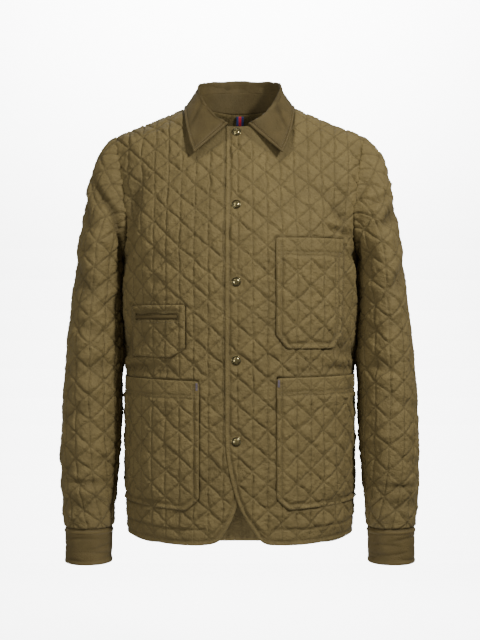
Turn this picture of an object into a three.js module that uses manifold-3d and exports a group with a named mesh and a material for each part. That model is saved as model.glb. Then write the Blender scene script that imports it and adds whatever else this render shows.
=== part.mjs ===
// A quilted jacket, filled out as if worn, with open neck, hem and cuffs.
//
// Millimetres, +Z up. The front faces -Y and the wearer's left is +X. The origin is the centre of the
// neck at the height of the shoulder seams' neck ends, where the wearer's shoulders carry the jacket.
//
// Every quilted piece is cut flat from quilted cloth and then laid on its form, as a maker would do it.
// A flat point is [s, t]: s runs around the body or the sleeve, t runs up it, both along the cloth.

import * as THREE from 'three';
import { mergeVertices } from 'three/addons/utils/BufferGeometryUtils.js';
import Module from 'manifold-3d';

const wasm = await Module();
wasm.setup();

// Cloth and quilting
const WALL = 1.3; // cloth and padding where they are pressed together
const PUFF = 2.3; // how far a quilted cell stands up
const GAP = 0.3; // between sewn pieces
const COLUMN = 23; // between the upright quilting lines
const CELL = 41; // height of a quilted diamond
const FIRST_COLUMN = -3; // an upright line runs beside the snaps
const FIRST_ROW = 7;
const FLAT_EDGE = 7; // cloth beside a seam is pressed flat this far
const FULL_PUFF = 15; // and is fully padded from here on
const OUTLINE_STEP = 24; // between the points of a curved outline

// Levels of the garment
const ARMPIT = -250;
const HEM_SIDE = -697;
const HEM_FRONT = -704;
const HEM_BACK = -737;
const BODY_BOTTOM = -770;
const YOKE_RISE = 150; // above the armpit the uprights change from following the side to standing upright
const UPRIGHT = 0.955; // share of its width that an upright line keeps at the shoulder
const NECK_HALF = 76;
const SHOULDER_HALF = 203;

// Front closing
const LEFT_EDGE = -22.5; // the left front laps over the right one
const RIGHT_EDGE = 12;
const LAP_LIFT = 2 * (WALL / 2) + GAP + 0.5;
const SNAP_X = -6;
const SNAP_RADIUS = 7;
const SNAP_LEVELS = [-42, -172, -295, -417, -543];

// Half-width, depth to the front and to the back, and squareness of the body's level sections
const BODY_LEVELS = [
  { z: -770, half: 183.5, front: 142, back: 118, power: 2.3 },
  { z: -700, half: 184, front: 141, back: 115, power: 2.3 },
  { z: -560, half: 184, front: 139, back: 108, power: 2.35 },
  { z: -450, half: 184, front: 138, back: 104, power: 2.4 },
  { z: -350, half: 185, front: 138, back: 108, power: 2.4 },
  { z: -250, half: 188, front: 134, back: 116, power: 2.4 },
  { z: -210, half: 193, front: 128, back: 118, power: 2.4 },
  { z: -160, half: 201, front: 113, back: 115, power: 2.35 },
  { z: -110, half: 208, front: 93, back: 108, power: 2.3 },
  { z: -75, half: 211, front: 77, back: 98, power: 2.3 },
  { z: -58, half: 205, front: 69.5, back: 92, power: 2.25 },
  { z: -42, half: 168, front: 62.5, back: 85, power: 2.2 },
  { z: -24, half: 124, front: 56, back: 76, power: 2.1 },
  { z: -4, half: 78, front: 50, back: 61, power: 2 },
  { z: 14, half: 34, front: 46, back: 52, power: 2 },
];

// Soft folds and hollows of the worn body: place, direction in degrees, size and height
const FRONT_FOLDS = [
  { s: -196, t: -205, turn: 68, length: 70, width: 17, height: -7 },
  { s: -214, t: -300, turn: 80, length: 60, width: 16, height: 6 },
  { s: -205, t: -395, turn: 15, length: 60, width: 18, height: -6 },
  { s: -150, t: -620, turn: 88, length: 110, width: 26, height: 4 },
  { s: 188, t: -208, turn: -50, length: 62, width: 15, height: -7 },
  { s: 214, t: -310, turn: -75, length: 70, width: 16, height: 6 },
  { s: 196, t: -405, turn: -18, length: 62, width: 18, height: -6 },
  { s: 160, t: -630, turn: 88, length: 110, width: 26, height: 4 },
];
const BACK_FOLDS = [
  { s: -188, t: -215, turn: 62, length: 75, width: 18, height: -7 },
  { s: 188, t: -215, turn: -62, length: 75, width: 18, height: -7 },
  { s: 0, t: -440, turn: 5, length: 120, width: 22, height: -4 },
  { s: -95, t: -600, turn: 86, length: 130, width: 30, height: 4 },
  { s: 95, t: -600, turn: 94, length: 130, width: 30, height: 4 },
];

// The right sleeve's level rings: centre, half-width across and half-depth front to back
const SLEEVE_LEVELS = [
  { z: -750, x: -246, y: -34, across: 35.5, deep: 42 },
  { z: -690, x: -245.5, y: -33, across: 36.5, deep: 43 },
  { z: -640, x: -246.5, y: -30, across: 40, deep: 51 },
  { z: -585, x: -246.5, y: -26, across: 43, deep: 57 },
  { z: -536, x: -244.5, y: -22, across: 44, deep: 61 },
  { z: -486, x: -243, y: -17, across: 43.5, deep: 65 },
  { z: -440, x: -242, y: -13, across: 41, deep: 68 },
  { z: -350, x: -239, y: -8, across: 36.5, deep: 72 },
  { z: -275, x: -233, y: -4, across: 33, deep: 75 },
];
const BICEPS = -275;
const SLEEVE_END = -689;
const CUFF_END = -745;
const SLEEVE_SEAM = 0.43; // where the sleeve's long seam runs, as a share of the ring
const ARMHOLE_GAP = 2.3; // the sleeve turns sharply at the armpit, so its edge needs more room there
const SHOULDER_GAP = 0.9;
const SLEEVE_FOLDS = [
  { s: 40, t: 92, turn: -38, length: 55, width: 13, height: -6 },
  { s: 95, t: 48, turn: -30, length: 45, width: 13, height: 5 },
  { s: 70, t: -20, turn: -35, length: 60, width: 15, height: -5 },
  { s: 120, t: -150, turn: 10, length: 45, width: 14, height: -5 },
  { s: -110, t: 70, turn: 40, length: 60, width: 14, height: -6 },
  { s: 60, t: -375, turn: 4, length: 50, width: 12, height: -4 },
];

// Olive cloth, snaps, tape and patch
const CUFF_WALL = 2;
const CUFF_EASE = 1.2;
const CUFF_CREASE = 0.8;
const LOOP_WIDTH = 12.7;
const LOOP_LENGTH = 40;
const LOOP_THICKNESS = 1.2;
const LOOP_SLACK = 2.2;
const BACK_COLLAR_LEVEL = -40;
const FOLD_FADE = 30; // folds die out this far from a seam

const COLOURS = {
  shell: { color: 0x72643f, roughness: 0.62, metalness: 0 },
  collar: { color: 0x756741, roughness: 0.58, metalness: 0 },
  metal: { color: 0x6f6538, roughness: 0.34, metalness: 0.9 },
  tape: { color: 0x9b1f33, roughness: 0.7, metalness: 0 },
  patch: { color: 0xe6e2d2, roughness: 0.85, metalness: 0 },
};

// Small maths

const mix = (a, b, w) => a + (b - a) * w;
const clamp = (x, low, high) => Math.min(high, Math.max(low, x));
const smooth = (x) => clamp(x, 0, 1) ** 2 * (3 - 2 * clamp(x, 0, 1));

// A smooth reading of one column of a table of levels
function levelValue(rows, key, z) {
  const last = rows.length - 2;
  let i = 0;
  while (i < last && z > rows[i + 1].z) i += 1;
  const [a, b] = [rows[i], rows[i + 1]];
  const before = rows[Math.max(0, i - 1)];
  const after = rows[Math.min(rows.length - 1, i + 2)];
  const span = b.z - a.z;
  const w = clamp((z - a.z) / span, 0, 1);
  const slopeA = ((b[key] - before[key]) / (b.z - before.z)) * span;
  const slopeB = ((after[key] - a[key]) / (after.z - a.z)) * span;
  const [w2, w3] = [w * w, w * w * w];
  return a[key] * (2 * w3 - 3 * w2 + 1) + slopeA * (w3 - 2 * w2 + w)
    + b[key] * (3 * w2 - 2 * w3) + slopeB * (w3 - w2);
}

// The sum of soft folds at a flat point
function foldHeight(folds, s, t) {
  let height = 0;
  for (const fold of folds) {
    const turn = THREE.MathUtils.degToRad(fold.turn);
    const [ds, dt] = [s - fold.s, t - fold.t];
    const along = (ds * Math.cos(turn) + dt * Math.sin(turn)) / fold.length;
    const across = (dt * Math.cos(turn) - ds * Math.sin(turn)) / fold.width;
    height += fold.height * Math.exp(-along * along - across * across);
  }
  return height;
}

// A line of 3-D points that can be read by its length
function measured(points) {
  const lengths = [0];
  for (let i = 1; i < points.length; i += 1) {
    lengths.push(lengths[i - 1] + points[i].distanceTo(points[i - 1]));
  }
  return { points, lengths, total: lengths[lengths.length - 1] };
}

// The point at a length; past either end the line goes straight on
function pointAlong(line, length) {
  const { points, lengths } = line;
  let i = 1;
  while (i < points.length - 1 && lengths[i] < length) i += 1;
  const w = (length - lengths[i - 1]) / (lengths[i] - lengths[i - 1]);
  return points[i - 1].clone().lerp(points[i], w);
}

// The body's form

const SECTION_STEPS = 160;
const COLUMN_STEP = 6;
const COLUMN_COUNT = 52;

const crestLevels = (x) => {
  let [low, high] = [-75, 13];
  for (let i = 0; i < 40; i += 1) {
    const middle = (low + high) / 2;
    if (levelValue(BODY_LEVELS, 'half', middle) > x) low = middle;
    else high = middle;
  }
  return (low + high) / 2;
};

// Depth of the level section at x
function sectionDepth(side, x, z) {
  const half = levelValue(BODY_LEVELS, 'half', z);
  const power = levelValue(BODY_LEVELS, 'power', z);
  const share = clamp(Math.abs(x) / half, 0, 1);
  return levelValue(BODY_LEVELS, side, z) * (1 - share ** power) ** (1 / power);
}

// A quarter of the level section, from the centre line to the side
function quarterSection(side, z) {
  const half = levelValue(BODY_LEVELS, 'half', z);
  const depth = levelValue(BODY_LEVELS, side, z);
  const power = levelValue(BODY_LEVELS, 'power', z);
  const points = [];
  for (let i = 0; i <= SECTION_STEPS; i += 1) {
    const angle = (i / SECTION_STEPS) * (Math.PI / 2);
    const x = half * Math.sin(angle) ** (2 / power);
    const y = depth * Math.cos(angle) ** (2 / power);
    points.push(new THREE.Vector3(x, y, z));
  }
  return measured(points);
}

// The uprights of the front or back: each is a measured line with its length at the armpit
function uprights(side) {
  const sections = [];
  for (let z = BODY_BOTTOM; z <= ARMPIT; z += 10) sections.push(quarterSection(side, z));
  const columns = [];
  for (let i = 0; i <= COLUMN_COUNT; i += 1) {
    const s = i * COLUMN_STEP;
    const points = sections.map((section) => pointAlong(section, Math.min(s, section.total)));
    const low = points[points.length - 1];
    const below = points.length - 1;
    const top = crestLevels(UPRIGHT * s);
    for (let j = 1; j <= 40; j += 1) {
      const z = ARMPIT + (top - ARMPIT) * Math.sin((j / 40) * (Math.PI / 2));
      const x = mix(low.x, UPRIGHT * s, smooth((z - ARMPIT) / YOKE_RISE));
      points.push(new THREE.Vector3(x, sectionDepth(side, x, z), z));
    }
    const line = measured(points);
    columns.push({ line, zero: line.lengths[below] - ARMPIT });
  }
  return columns;
}

const UPRIGHTS = { front: uprights('front'), back: uprights('back') };

// How far up the cloth the shoulder seam lies on the upright at s
function shoulderLength(side, s) {
  const place = clamp(Math.abs(s) / COLUMN_STEP, 0, COLUMN_COUNT - 1.001);
  const i = Math.floor(place);
  const [a, b] = [UPRIGHTS[side][i], UPRIGHTS[side][i + 1]];
  return mix(a.line.total - a.zero, b.line.total - b.zero, place - i);
}

// The smooth body form at a flat point; the back's s runs towards -X, so that t is up and cloth faces out
function bodyForm(side, s, t) {
  const place = clamp(Math.abs(s) / COLUMN_STEP, 0, COLUMN_COUNT - 0.001);
  const i = Math.floor(place);
  const columns = UPRIGHTS[side];
  const a = pointAlong(columns[i].line, t + columns[i].zero);
  const b = pointAlong(columns[i + 1].line, t + columns[i + 1].zero);
  const point = a.lerp(b, place - i);
  const sign = Math.sign(s) || 1;
  return side === 'front'
    ? new THREE.Vector3(point.x * sign, -point.y, point.z)
    : new THREE.Vector3(-point.x * sign, point.y, point.z);
}

// Length around the level from the centre to the side seam
function sideSeam(side, z) {
  return quarterSection(side, z).total;
}

// The outward direction of a form at a flat point
function outward(form, s, t) {
  const step = 3;
  const across = form(s + step, t).sub(form(s - step, t));
  const up = form(s, t + step).sub(form(s, t - step));
  return across.cross(up).normalize();
}

const bodyShape = (side) => (s, t) => bodyForm(side, s, t);

// Flat outlines

// Points along a curve through the given points
function through(points, step = OUTLINE_STEP) {
  const curve = new THREE.SplineCurve(points.map(([s, t]) => new THREE.Vector2(s, t)));
  const count = Math.max(2, Math.round(curve.getLength() / step));
  return curve.getSpacedPoints(count).map((p) => [p.x, p.y]);
}

// A quarter of an ellipse from (s0, t0), which it leaves level, to (s1, t1), which it meets upright
function quarterTurn(s0, t0, s1, t1, count) {
  const points = [];
  for (let i = 0; i <= count; i += 1) {
    const angle = (i / count) * (Math.PI / 2);
    points.push([mix(s0, s1, Math.sin(angle)), mix(t1, t0, Math.cos(angle))]);
  }
  return points;
}

// The neck curve of a panel, from its centre to the shoulder seam
function neckCurve(side, centreLevel) {
  const high = shoulderLength(side, NECK_HALF / UPRIGHT);
  return quarterTurn(0, centreLevel, NECK_HALF / UPRIGHT, high - GAP, 7);
}

// The shoulder seam from the neck to the armhole
function shoulderCurve(side) {
  const points = [];
  const [from, to] = [NECK_HALF / UPRIGHT, SHOULDER_HALF / UPRIGHT];
  for (let i = 0; i <= 6; i += 1) {
    const s = mix(from, to, i / 6);
    points.push([s, shoulderLength(side, s) - GAP]);
  }
  return points;
}

// The armhole from the shoulder to the armpit
const ARMHOLES = {
  front: [{ s: 201, t: -112 }, { s: 199, t: -165 }, { s: 206, t: -208 }, { s: 226, t: -238 }],
  back: [{ s: 206, t: -100 }, { s: 204, t: -160 }, { s: 207, t: -205 }, { s: 222, t: -238 }],
};
function armholeCurve(side) {
  const top = SHOULDER_HALF / UPRIGHT;
  const start = [top, shoulderLength(side, top) - GAP];
  const end = [sideSeam(side, ARMPIT) - GAP, ARMPIT];
  return through([start, ...ARMHOLES[side].map((row) => [row.s, row.t]), end], 15);
}

// The side seam from the armpit to the hem
function sideCurve(side) {
  const points = [];
  for (let i = 0; i <= 6; i += 1) {
    const z = mix(ARMPIT, HEM_SIDE, i / 6);
    points.push([sideSeam(side, z) - GAP, z]);
  }
  return points;
}

// The same line with three more points on each stretch
const closer = (points) => points.flatMap((p, i) => (i === 0 ? [p] : [0.25, 0.5, 0.75, 1].map(
  (w) => [mix(points[i - 1][0], p[0], w), mix(points[i - 1][1], p[1], w)],
)));
const mirrored = (points) => points.map(([s, t]) => [-s, t]).reverse();
const joined = (...curves) => {
  const all = curves.flat();
  return all.filter(([s, t], i) => {
    const [s0, t0] = all[(i + all.length - 1) % all.length];
    return Math.hypot(s - s0, t - t0) > 1;
  });
};

// The cut of each body panel, anticlockwise from the bottom of its front edge
const NECK_FRONT = -32;
const NECK_BACK = shoulderLength('back', 0) - 22;

// The side of a front that goes up the neck, over the shoulder and down to the hem
const frontOutside = () => [
  ...neckCurve('front', NECK_FRONT), ...shoulderCurve('front'), ...armholeCurve('front'), ...sideCurve('front'),
];
const FRONT_HEM = [{ s: 175, t: -700 }, { s: 110, t: -704 }, { s: 62, t: HEM_FRONT }];
const FRONT_CORNER = [
  { s: 37, t: -700 }, { s: 20, t: -680 }, { s: 2, t: -650 }, { s: -9, t: -620 },
  { s: -16, t: -592 }, { s: -21, t: -560 }, { s: LEFT_EDGE, t: -530 },
];
const UNDER_CORNER = [
  { s: 35, t: -698 }, { s: 24, t: -684 }, { s: 12, t: -662 }, { s: 2, t: -632 },
  { s: -7, t: -596 }, { s: -11, t: -560 }, { s: -RIGHT_EDGE, t: -530 },
];
const asPoints = (rows) => rows.map((row) => [row.s, row.t]);

// One front as if it were on the wearer's left; edge is the s of its front edge
function frontCut(edge, corner) {
  const side = [sideSeam('front', HEM_SIDE) - GAP, HEM_SIDE];
  const hem = through([side, ...asPoints(FRONT_HEM), ...asPoints(corner)]);
  return joined([[edge, NECK_FRONT]], frontOutside(), hem).reverse();
}
const LEFT_CUT = frontCut(LEFT_EDGE, FRONT_CORNER);
const RIGHT_CUT = mirrored(frontCut(-RIGHT_EDGE, UNDER_CORNER));

// The back's hem, from the side seam in
const BACK_DROP = [
  { across: 1, down: 0 }, { across: 0.9, down: 0.32 }, { across: 0.66, down: 0.86 }, { across: 0.4, down: 1 },
];
function backCut() {
  const seam = sideSeam('back', HEM_SIDE) - GAP;
  const half = [
    ...neckCurve('back', NECK_BACK), ...shoulderCurve('back'), ...armholeCurve('back'), ...sideCurve('back'),
  ];
  const drop = BACK_DROP.map(({ across, down }) => [seam * across, mix(HEM_SIDE, HEM_BACK, down)]);
  const right = joined(half, through(drop));
  return joined(right, mirrored(right)).reverse();
}
const BACK_CUT = backCut();

// Flat shapes

function isInside(points, s, t) {
  let inside = false;
  for (let i = 0, j = points.length - 1; i < points.length; j = i, i += 1) {
    const [[s0, t0], [s1, t1]] = [points[i], points[j]];
    if ((t0 > t) !== (t1 > t) && s < ((s1 - s0) * (t - t0)) / (t1 - t0) + s0) inside = !inside;
  }
  return inside;
}

function distanceTo(points, s, t) {
  let best = Infinity;
  for (let i = 0, j = points.length - 1; i < points.length; j = i, i += 1) {
    const [[s0, t0], [s1, t1]] = [points[i], points[j]];
    const [ds, dt] = [s1 - s0, t1 - t0];
    const w = clamp(((s - s0) * ds + (t - t0) * dt) / (ds * ds + dt * dt || 1), 0, 1);
    best = Math.min(best, Math.hypot(s - s0 - ds * w, t - t0 - dt * w));
  }
  return best;
}

// The crossings of the quilting lines; every other upright has them half a diamond higher
const crossing = (k, m) => [FIRST_COLUMN + k * COLUMN, FIRST_ROW + (m + (k % 2 === 0 ? 0 : 0.5)) * CELL];

// The three crossings around a flat point, each as [s, t, share]
function cellAround(s, t) {
  const k = Math.floor((s - FIRST_COLUMN) / COLUMN);
  const a = (s - FIRST_COLUMN) / COLUMN - k;
  const level = (t - FIRST_ROW) / CELL - (k % 2 === 0 ? 0 : 0.5);
  const m = Math.floor(level);
  const g = level - m;
  const corner = (column, up, share) => [
    FIRST_COLUMN + (k + column) * COLUMN, t + (up - g) * CELL, share,
  ];
  if (g >= a / 2 && g <= 1 - a / 2) {
    return [corner(0, 0, 1 - g - a / 2), corner(1, 0.5, a), corner(0, 1, g - a / 2)];
  }
  const left = g < 0.5 ? 0 : 1;
  const upper = g - left * (1 - a) - (left - 0.5) * a;
  return [corner(0, left, 1 - a), corner(1, left - 0.5, a - upper), corner(1, left + 0.5, upper)];
}

// Flat cloth: a slab quilted in triangles between upright and slanting lines, each with a raised middle.
// raise(s, t, corners) from 0 to 1 says how much a cell stands up.
function quiltedSlab(box, raise, bottom, wall) {
  const [low, high] = [bottom, bottom + wall];
  const k0 = Math.floor((box.s0 - FIRST_COLUMN) / COLUMN) - 1;
  const k1 = Math.ceil((box.s1 - FIRST_COLUMN) / COLUMN) + 1;
  const m0 = Math.floor((box.t0 - FIRST_ROW) / CELL) - 1;
  const m1 = Math.ceil((box.t1 - FIRST_ROW) / CELL) + 1;
  const positions = [];
  const rows = m1 - m0 + 1;
    const index = (k, m) => (k - k0) * rows + (m - m0);
  for (let k = k0; k <= k1; k += 1) {
    for (let m = m0; m <= m1; m += 1) positions.push([...crossing(k, m), high]);
  }
  const plain = positions.length;
  for (let i = 0; i < plain; i += 1) positions.push([positions[i][0], positions[i][1], low]);

  const cells = [];
  for (let k = k0; k < k1; k += 1) {
    const lower = k % 2 === 0 ? 0 : 1;
    for (let m = m0; m < m1; m += 1) {
      // Odd uprights are half a cell higher, so the neighbour that lies between is m or m + 1
      cells.push([index(k, m), index(k + 1, m + lower), index(k, m + 1)]);
      if (lower === 0) cells.push([index(k + 1, m), index(k + 1, m + 1), index(k, m + 1)]);
      else cells.push([index(k + 1, m), index(k + 1, m + 1), index(k, m)]);
    }
  }

  const triangles = [];
  const edges = new Map();
  for (const cell of cells) {
    const [a, b, c] = cell.map((i) => positions[i]);
    const s = (a[0] + b[0] + c[0]) / 3;
    const t = (a[1] + b[1] + c[1]) / 3;
    const height = PUFF * raise(s, t, [a, b, c]);
    if (height > 0.5) {
      const peak = positions.length;
      positions.push([s, t, high + height]);
      for (let i = 0; i < 3; i += 1) triangles.push([cell[i], cell[(i + 1) % 3], peak]);
    } else triangles.push(cell);
    triangles.push([cell[2] + plain, cell[1] + plain, cell[0] + plain]);
    for (let i = 0; i < 3; i += 1) edges.set(`${cell[i]},${cell[(i + 1) % 3]}`, [cell[i], cell[(i + 1) % 3]]);
  }
  for (const [a, b] of edges.values()) {
    if (!edges.has(`${b},${a}`)) triangles.push([a, a + plain, b], [b, a + plain, b + plain]);
  }
  return { positions, triangles };
}

// A closed mesh as a solid whose own edges are all kept when it is cut
function asSolid({ positions, triangles }) {
  return new wasm.Manifold(new wasm.Mesh({
    numProp: 3,
    vertProperties: new Float32Array(positions.flat()),
    triVerts: new Uint32Array(triangles.flat()),
    faceID: new Uint32Array(triangles.map((_, i) => i)),
  }));
}

// An upright prism over a flat outline, with holes
function prism(outline, low, high, holes = []) {
  const shape = new THREE.Shape(outline.map(([s, t]) => new THREE.Vector2(s, t)));
  shape.holes = holes.map((hole) => new THREE.Path(hole.map(([s, t]) => new THREE.Vector2(s, t))));
  const block = new THREE.ExtrudeGeometry(shape, { depth: high - low, bevelEnabled: false });
  block.deleteAttribute('normal');
  block.deleteAttribute('uv');
  const merged = mergeVertices(block, 1e-4);
  const at = merged.attributes.position;
  const positions = Array.from({ length: at.count }, (_, i) => [at.getX(i), at.getY(i), at.getZ(i) + low]);
  const order = Array.from(merged.index.array);
  const triangles = [];
  for (let i = 0; i < order.length; i += 3) triangles.push(order.slice(i, i + 3));
  return asSolid({ positions, triangles });
}

// Cuts quilted cloth to an outline and lays it on a form.
// pressed(s, t, corners) from 0 to 1 flattens its quilting.
function quiltedPiece({ outline, holes = [], place, pressed = () => 0, layer = 0, wall = WALL }) {
  const s = outline.map((p) => p[0]);
  const t = outline.map((p) => p[1]);
  const box = { s0: Math.min(...s), s1: Math.max(...s), t0: Math.min(...t), t1: Math.max(...t) };
  const edges = [outline, ...holes];
  const raise = (a, b, corners) => {
    if (!isInside(outline, a, b)) return 0;
    const near = Math.min(...edges.map((edge) => distanceTo(edge, a, b)));
    return smooth((near - FLAT_EDGE) / (FULL_PUFF - FLAT_EDGE)) * (1 - pressed(a, b, corners));
  };
  const bottom = layer - wall / 2;
  const cloth = asSolid(quiltedSlab(box, raise, bottom, wall));
  const cut = cloth.intersect(prism(outline, bottom - 5, bottom + wall + PUFF + 5, holes));
  return laidOn(cut, place);
}

// A place on the form itself
const onForm = (form, lift) => (s, t, height) => form(s, t)
  .addScaledVector(outward(form, s, t), height + lift(s, t));

// A place on top of a quilted panel, whose cells are flat triangles: place(s, t, height)
function onPanel(form, lift, outline, extra = () => 0) {
  const exact = (s, t, height) => form(s, t).addScaledVector(outward(form, s, t), height + lift(s, t));
  return (s, t, height) => {
    const corners = cellAround(s, t);
    const rise = height + extra(s, t);
    if (!corners.every(([a, b]) => isInside(outline, a, b))) return exact(s, t, rise);
    const point = new THREE.Vector3();
    for (const [a, b, share] of corners) point.addScaledVector(exact(a, b, rise), share);
    return point;
  };
}

// Maps a flat solid onto a form and gives it back as a geometry that faces out
function laidOn(solid, place) {
  const mesh = solid.getMesh();
  const positions = [];
  for (let i = 0; i < mesh.vertProperties.length; i += mesh.numProp) {
    const [s, t, height] = mesh.vertProperties.slice(i, i + 3);
    positions.push(...place(s, t, height).toArray());
  }
  return closedGeometry(positions, Array.from(mesh.triVerts));
}

function closedGeometry(positions, order) {
  const at = (i) => new THREE.Vector3(positions[3 * i], positions[3 * i + 1], positions[3 * i + 2]);
  let volume = 0;
  for (let i = 0; i < order.length; i += 3) {
    volume += at(order[i]).dot(at(order[i + 1]).cross(at(order[i + 2])));
  }
  if (volume < 0) for (let i = 0; i < order.length; i += 3) [order[i], order[i + 1]] = [order[i + 1], order[i]];
  const geometry = new THREE.BufferGeometry();
  geometry.setAttribute('position', new THREE.Float32BufferAttribute(positions, 3));
  geometry.setIndex(order);
  geometry.computeVertexNormals();
  return geometry;
}

function mirroredX(geometry) {
  const at = geometry.attributes.position;
  const positions = Array.from(at.array, (value, i) => (i % 3 === 0 ? -value : value));
  return closedGeometry(positions, Array.from(geometry.index.array));
}

// Pockets, each by its own cut

const beforeSideSeam = (z) => sideSeam('front', z) - 4;
const CHEST_POCKET = [[56, -226], [56, -377], [73, -399], [154, -399], [172, -377], [176, -226]];
const HIP_POCKET_LEFT = [
  [57, -445], [57, -633], [76, -650], [beforeSideSeam(-640), -641], [beforeSideSeam(-450), -441],
];
const HIP_POCKET_RIGHT = [
  [-64, -450], [-beforeSideSeam(-450), -443], [-beforeSideSeam(-640), -641], [-84, -651], [-64, -633],
];
const WELT_POCKET = [[-86, -331], [-190, -331], [-190, -411], [-109, -413], [-86, -399]];
const WELT_SLOT = [[-98, -344], [-182, -344], [-182, -353.5], [-98, -353.5]];
const WELT_LIP = [[-99, -346.8], [-181, -346.8], [-181, -352.9], [-99, -352.9]];
const POCKETS = [CHEST_POCKET, HIP_POCKET_LEFT, HIP_POCKET_RIGHT, WELT_POCKET];
const POCKET_LAYER = WALL + GAP + 0.3;
const POCKET_EASE = 0.5; // more room where the front turns to the side
const MOUTH_BAND = 20; // a pocket's turned hem, where the quilting is pressed
const MOUTH_SAG = 2.6; // how far the middle of a pocket's mouth stands off the front
const MOUTH_DEPTH = 70; // and how far down that dies out
const UNDER_COLLAR = [[-92, 40], [-92, -72], [-77, -92], [0, -40], [66, -92], [86, -72], [92, 40]];

// Quilting that lies under another piece is pressed flat
function isCovered(cut, corners) {
  const [a, b, c] = corners;
  const between = (p, q, w) => [mix(p[0], q[0], w), mix(p[1], q[1], w)];
  const centre = [(a[0] + b[0] + c[0]) / 3, (a[1] + b[1] + c[1]) / 3];
  const marks = [a, b, c, centre, between(a, b, 0.5), between(b, c, 0.5), between(c, a, 0.5)];
  for (const corner of corners) marks.push(between(corner, centre, 0.5));
  return marks.some(([s, t]) => isInside(cut, s, t) || distanceTo(cut, s, t) < 1.5);
}
function frontPressed(s, t, corners) {
  const snap = SNAP_LEVELS.some((level) => Math.hypot(s - SNAP_X, t - level) < SNAP_RADIUS + 13);
  return snap || [...POCKETS, UNDER_COLLAR].some((cut) => isCovered(cut, corners)) ? 1 : 0;
}

const plain = () => 1;
const nearness = (cut, s, t) => smooth(distanceTo(cut, s, t) / FOLD_FADE);
const frontFolds = (s, t) => foldHeight(FRONT_FOLDS, s, t)
  * Math.min(nearness(LEFT_CUT, s, t), nearness(RIGHT_CUT, s, t));
const backFolds = (s, t) => foldHeight(BACK_FOLDS, s, t) * nearness(BACK_CUT, s, t);
const lapLift = (s) => LAP_LIFT * (1 - smooth((s - RIGHT_EDGE - 3) / 30));

function frontPanel(isLeft) {
  return quiltedPiece({
    outline: isLeft ? LEFT_CUT : RIGHT_CUT,
    place: onForm(bodyShape('front'), (s, t) => frontFolds(s, t) + (isLeft ? lapLift(s) : 0)),
    pressed: (s, t, corners) => Math.max(
      frontPressed(s, t, corners),
      !isLeft && isCovered(LEFT_CUT, corners) ? 1 : 0,
    ),
  });
}

function backPanel() {
  return quiltedPiece({
    outline: BACK_CUT,
    place: onForm(bodyShape('back'), backFolds),
    pressed: (s, t) => (t > BACK_COLLAR_LEVEL && Math.abs(s) < 96 ? 1 : 0),
  });
}

const onFront = (isLeft, extra) => onPanel(
  bodyShape('front'),
  (s, t) => frontFolds(s, t) + POCKET_EASE * smooth((Math.abs(s) - 165) / 25),
  isLeft ? LEFT_CUT : RIGHT_CUT,
  extra,
);

// A patch pocket lies on its front, and its mouth stands a little open
function patchPocket(cut, mouth, isLeft) {
  const s = cut.map((p) => p[0]);
  const [middle, half] = [(Math.min(...s) + Math.max(...s)) / 2, (Math.max(...s) - Math.min(...s)) / 2];
  const open = (a, b) => MOUTH_SAG * smooth((b - mouth) / MOUTH_DEPTH + 1)
    * smooth(1.1 - Math.abs((a - middle) / half));
  return quiltedPiece({
    outline: cut,
    place: onFront(isLeft, open),
    layer: POCKET_LAYER,
    pressed: (a, b) => 0.55 * smooth((b - mouth + MOUTH_BAND + 6) / 8),
  });
}

// A closed sheet of across by up cells: at(i, j, isTop) gives each point of its two faces
function gridSheet(across, up, at, isRing = false) {
  const positions = [];
  const columns = isRing ? across : across + 1;
  const index = (i, j, isTop) => 2 * ((i % columns) * (up + 1) + j) + (isTop ? 1 : 0);
  for (let i = 0; i < columns; i += 1) {
    for (let j = 0; j <= up; j += 1) positions.push(at(i, j, false), at(i, j, true));
  }
  const triangles = [];
  const quad = (a, b, c, d) => triangles.push([a, b, c], [a, c, d]);
  for (let i = 0; i < across; i += 1) {
    for (let j = 0; j < up; j += 1) {
      quad(index(i, j, true), index(i + 1, j, true), index(i + 1, j + 1, true), index(i, j + 1, true));
      quad(index(i, j, false), index(i, j + 1, false), index(i + 1, j + 1, false), index(i + 1, j, false));
    }
    quad(index(i, 0, false), index(i + 1, 0, false), index(i + 1, 0, true), index(i, 0, true));
    quad(index(i, up, false), index(i, up, true), index(i + 1, up, true), index(i + 1, up, false));
  }
  for (let j = 0; j < up && !isRing; j += 1) {
    quad(index(0, j, false), index(0, j, true), index(0, j + 1, true), index(0, j + 1, false));
    const last = [index(across, j, false), index(across, j + 1, false), index(across, j + 1, true)];
    quad(...last, index(across, j, true));
  }
  return { positions, triangles };
}

// The sleeve's form, for the wearer's right; the left one is its mirror image

const RING_STEPS = 72;
const CAP_STEPS = 24;

// A level ring from its outermost point around the front
const ringAt = (() => {
  const made = new Map();
  return (z) => {
    const key = z.toFixed(2);
    if (!made.has(key)) {
      const read = (name) => levelValue(SLEEVE_LEVELS, name, z);
      const [x, y, across, deep] = ['x', 'y', 'across', 'deep'].map(read);
      const points = [];
      for (let i = 0; i <= RING_STEPS; i += 1) {
        const angle = (i / RING_STEPS) * 2 * Math.PI;
        points.push(new THREE.Vector3(x - across * Math.cos(angle), y - deep * Math.sin(angle), z));
      }
      made.set(key, measured(points));
    }
    return made.get(key);
  };
})();

const turnShare = (u) => u - Math.floor(u);
const ringPoint = (z, u) => pointAlong(ringAt(z), turnShare(u) * ringAt(z).total);

// The armhole on the right side: the front from the shoulder down, and the back from the shoulder down
const ARMHOLE_LINE = {
  front: measured(closer(armholeCurve('front')).map(([s, t]) => bodyForm('front', -s, t))),
  back: measured(closer(armholeCurve('back')).map(([s, t]) => bodyForm('back', s, t))),
};

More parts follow.
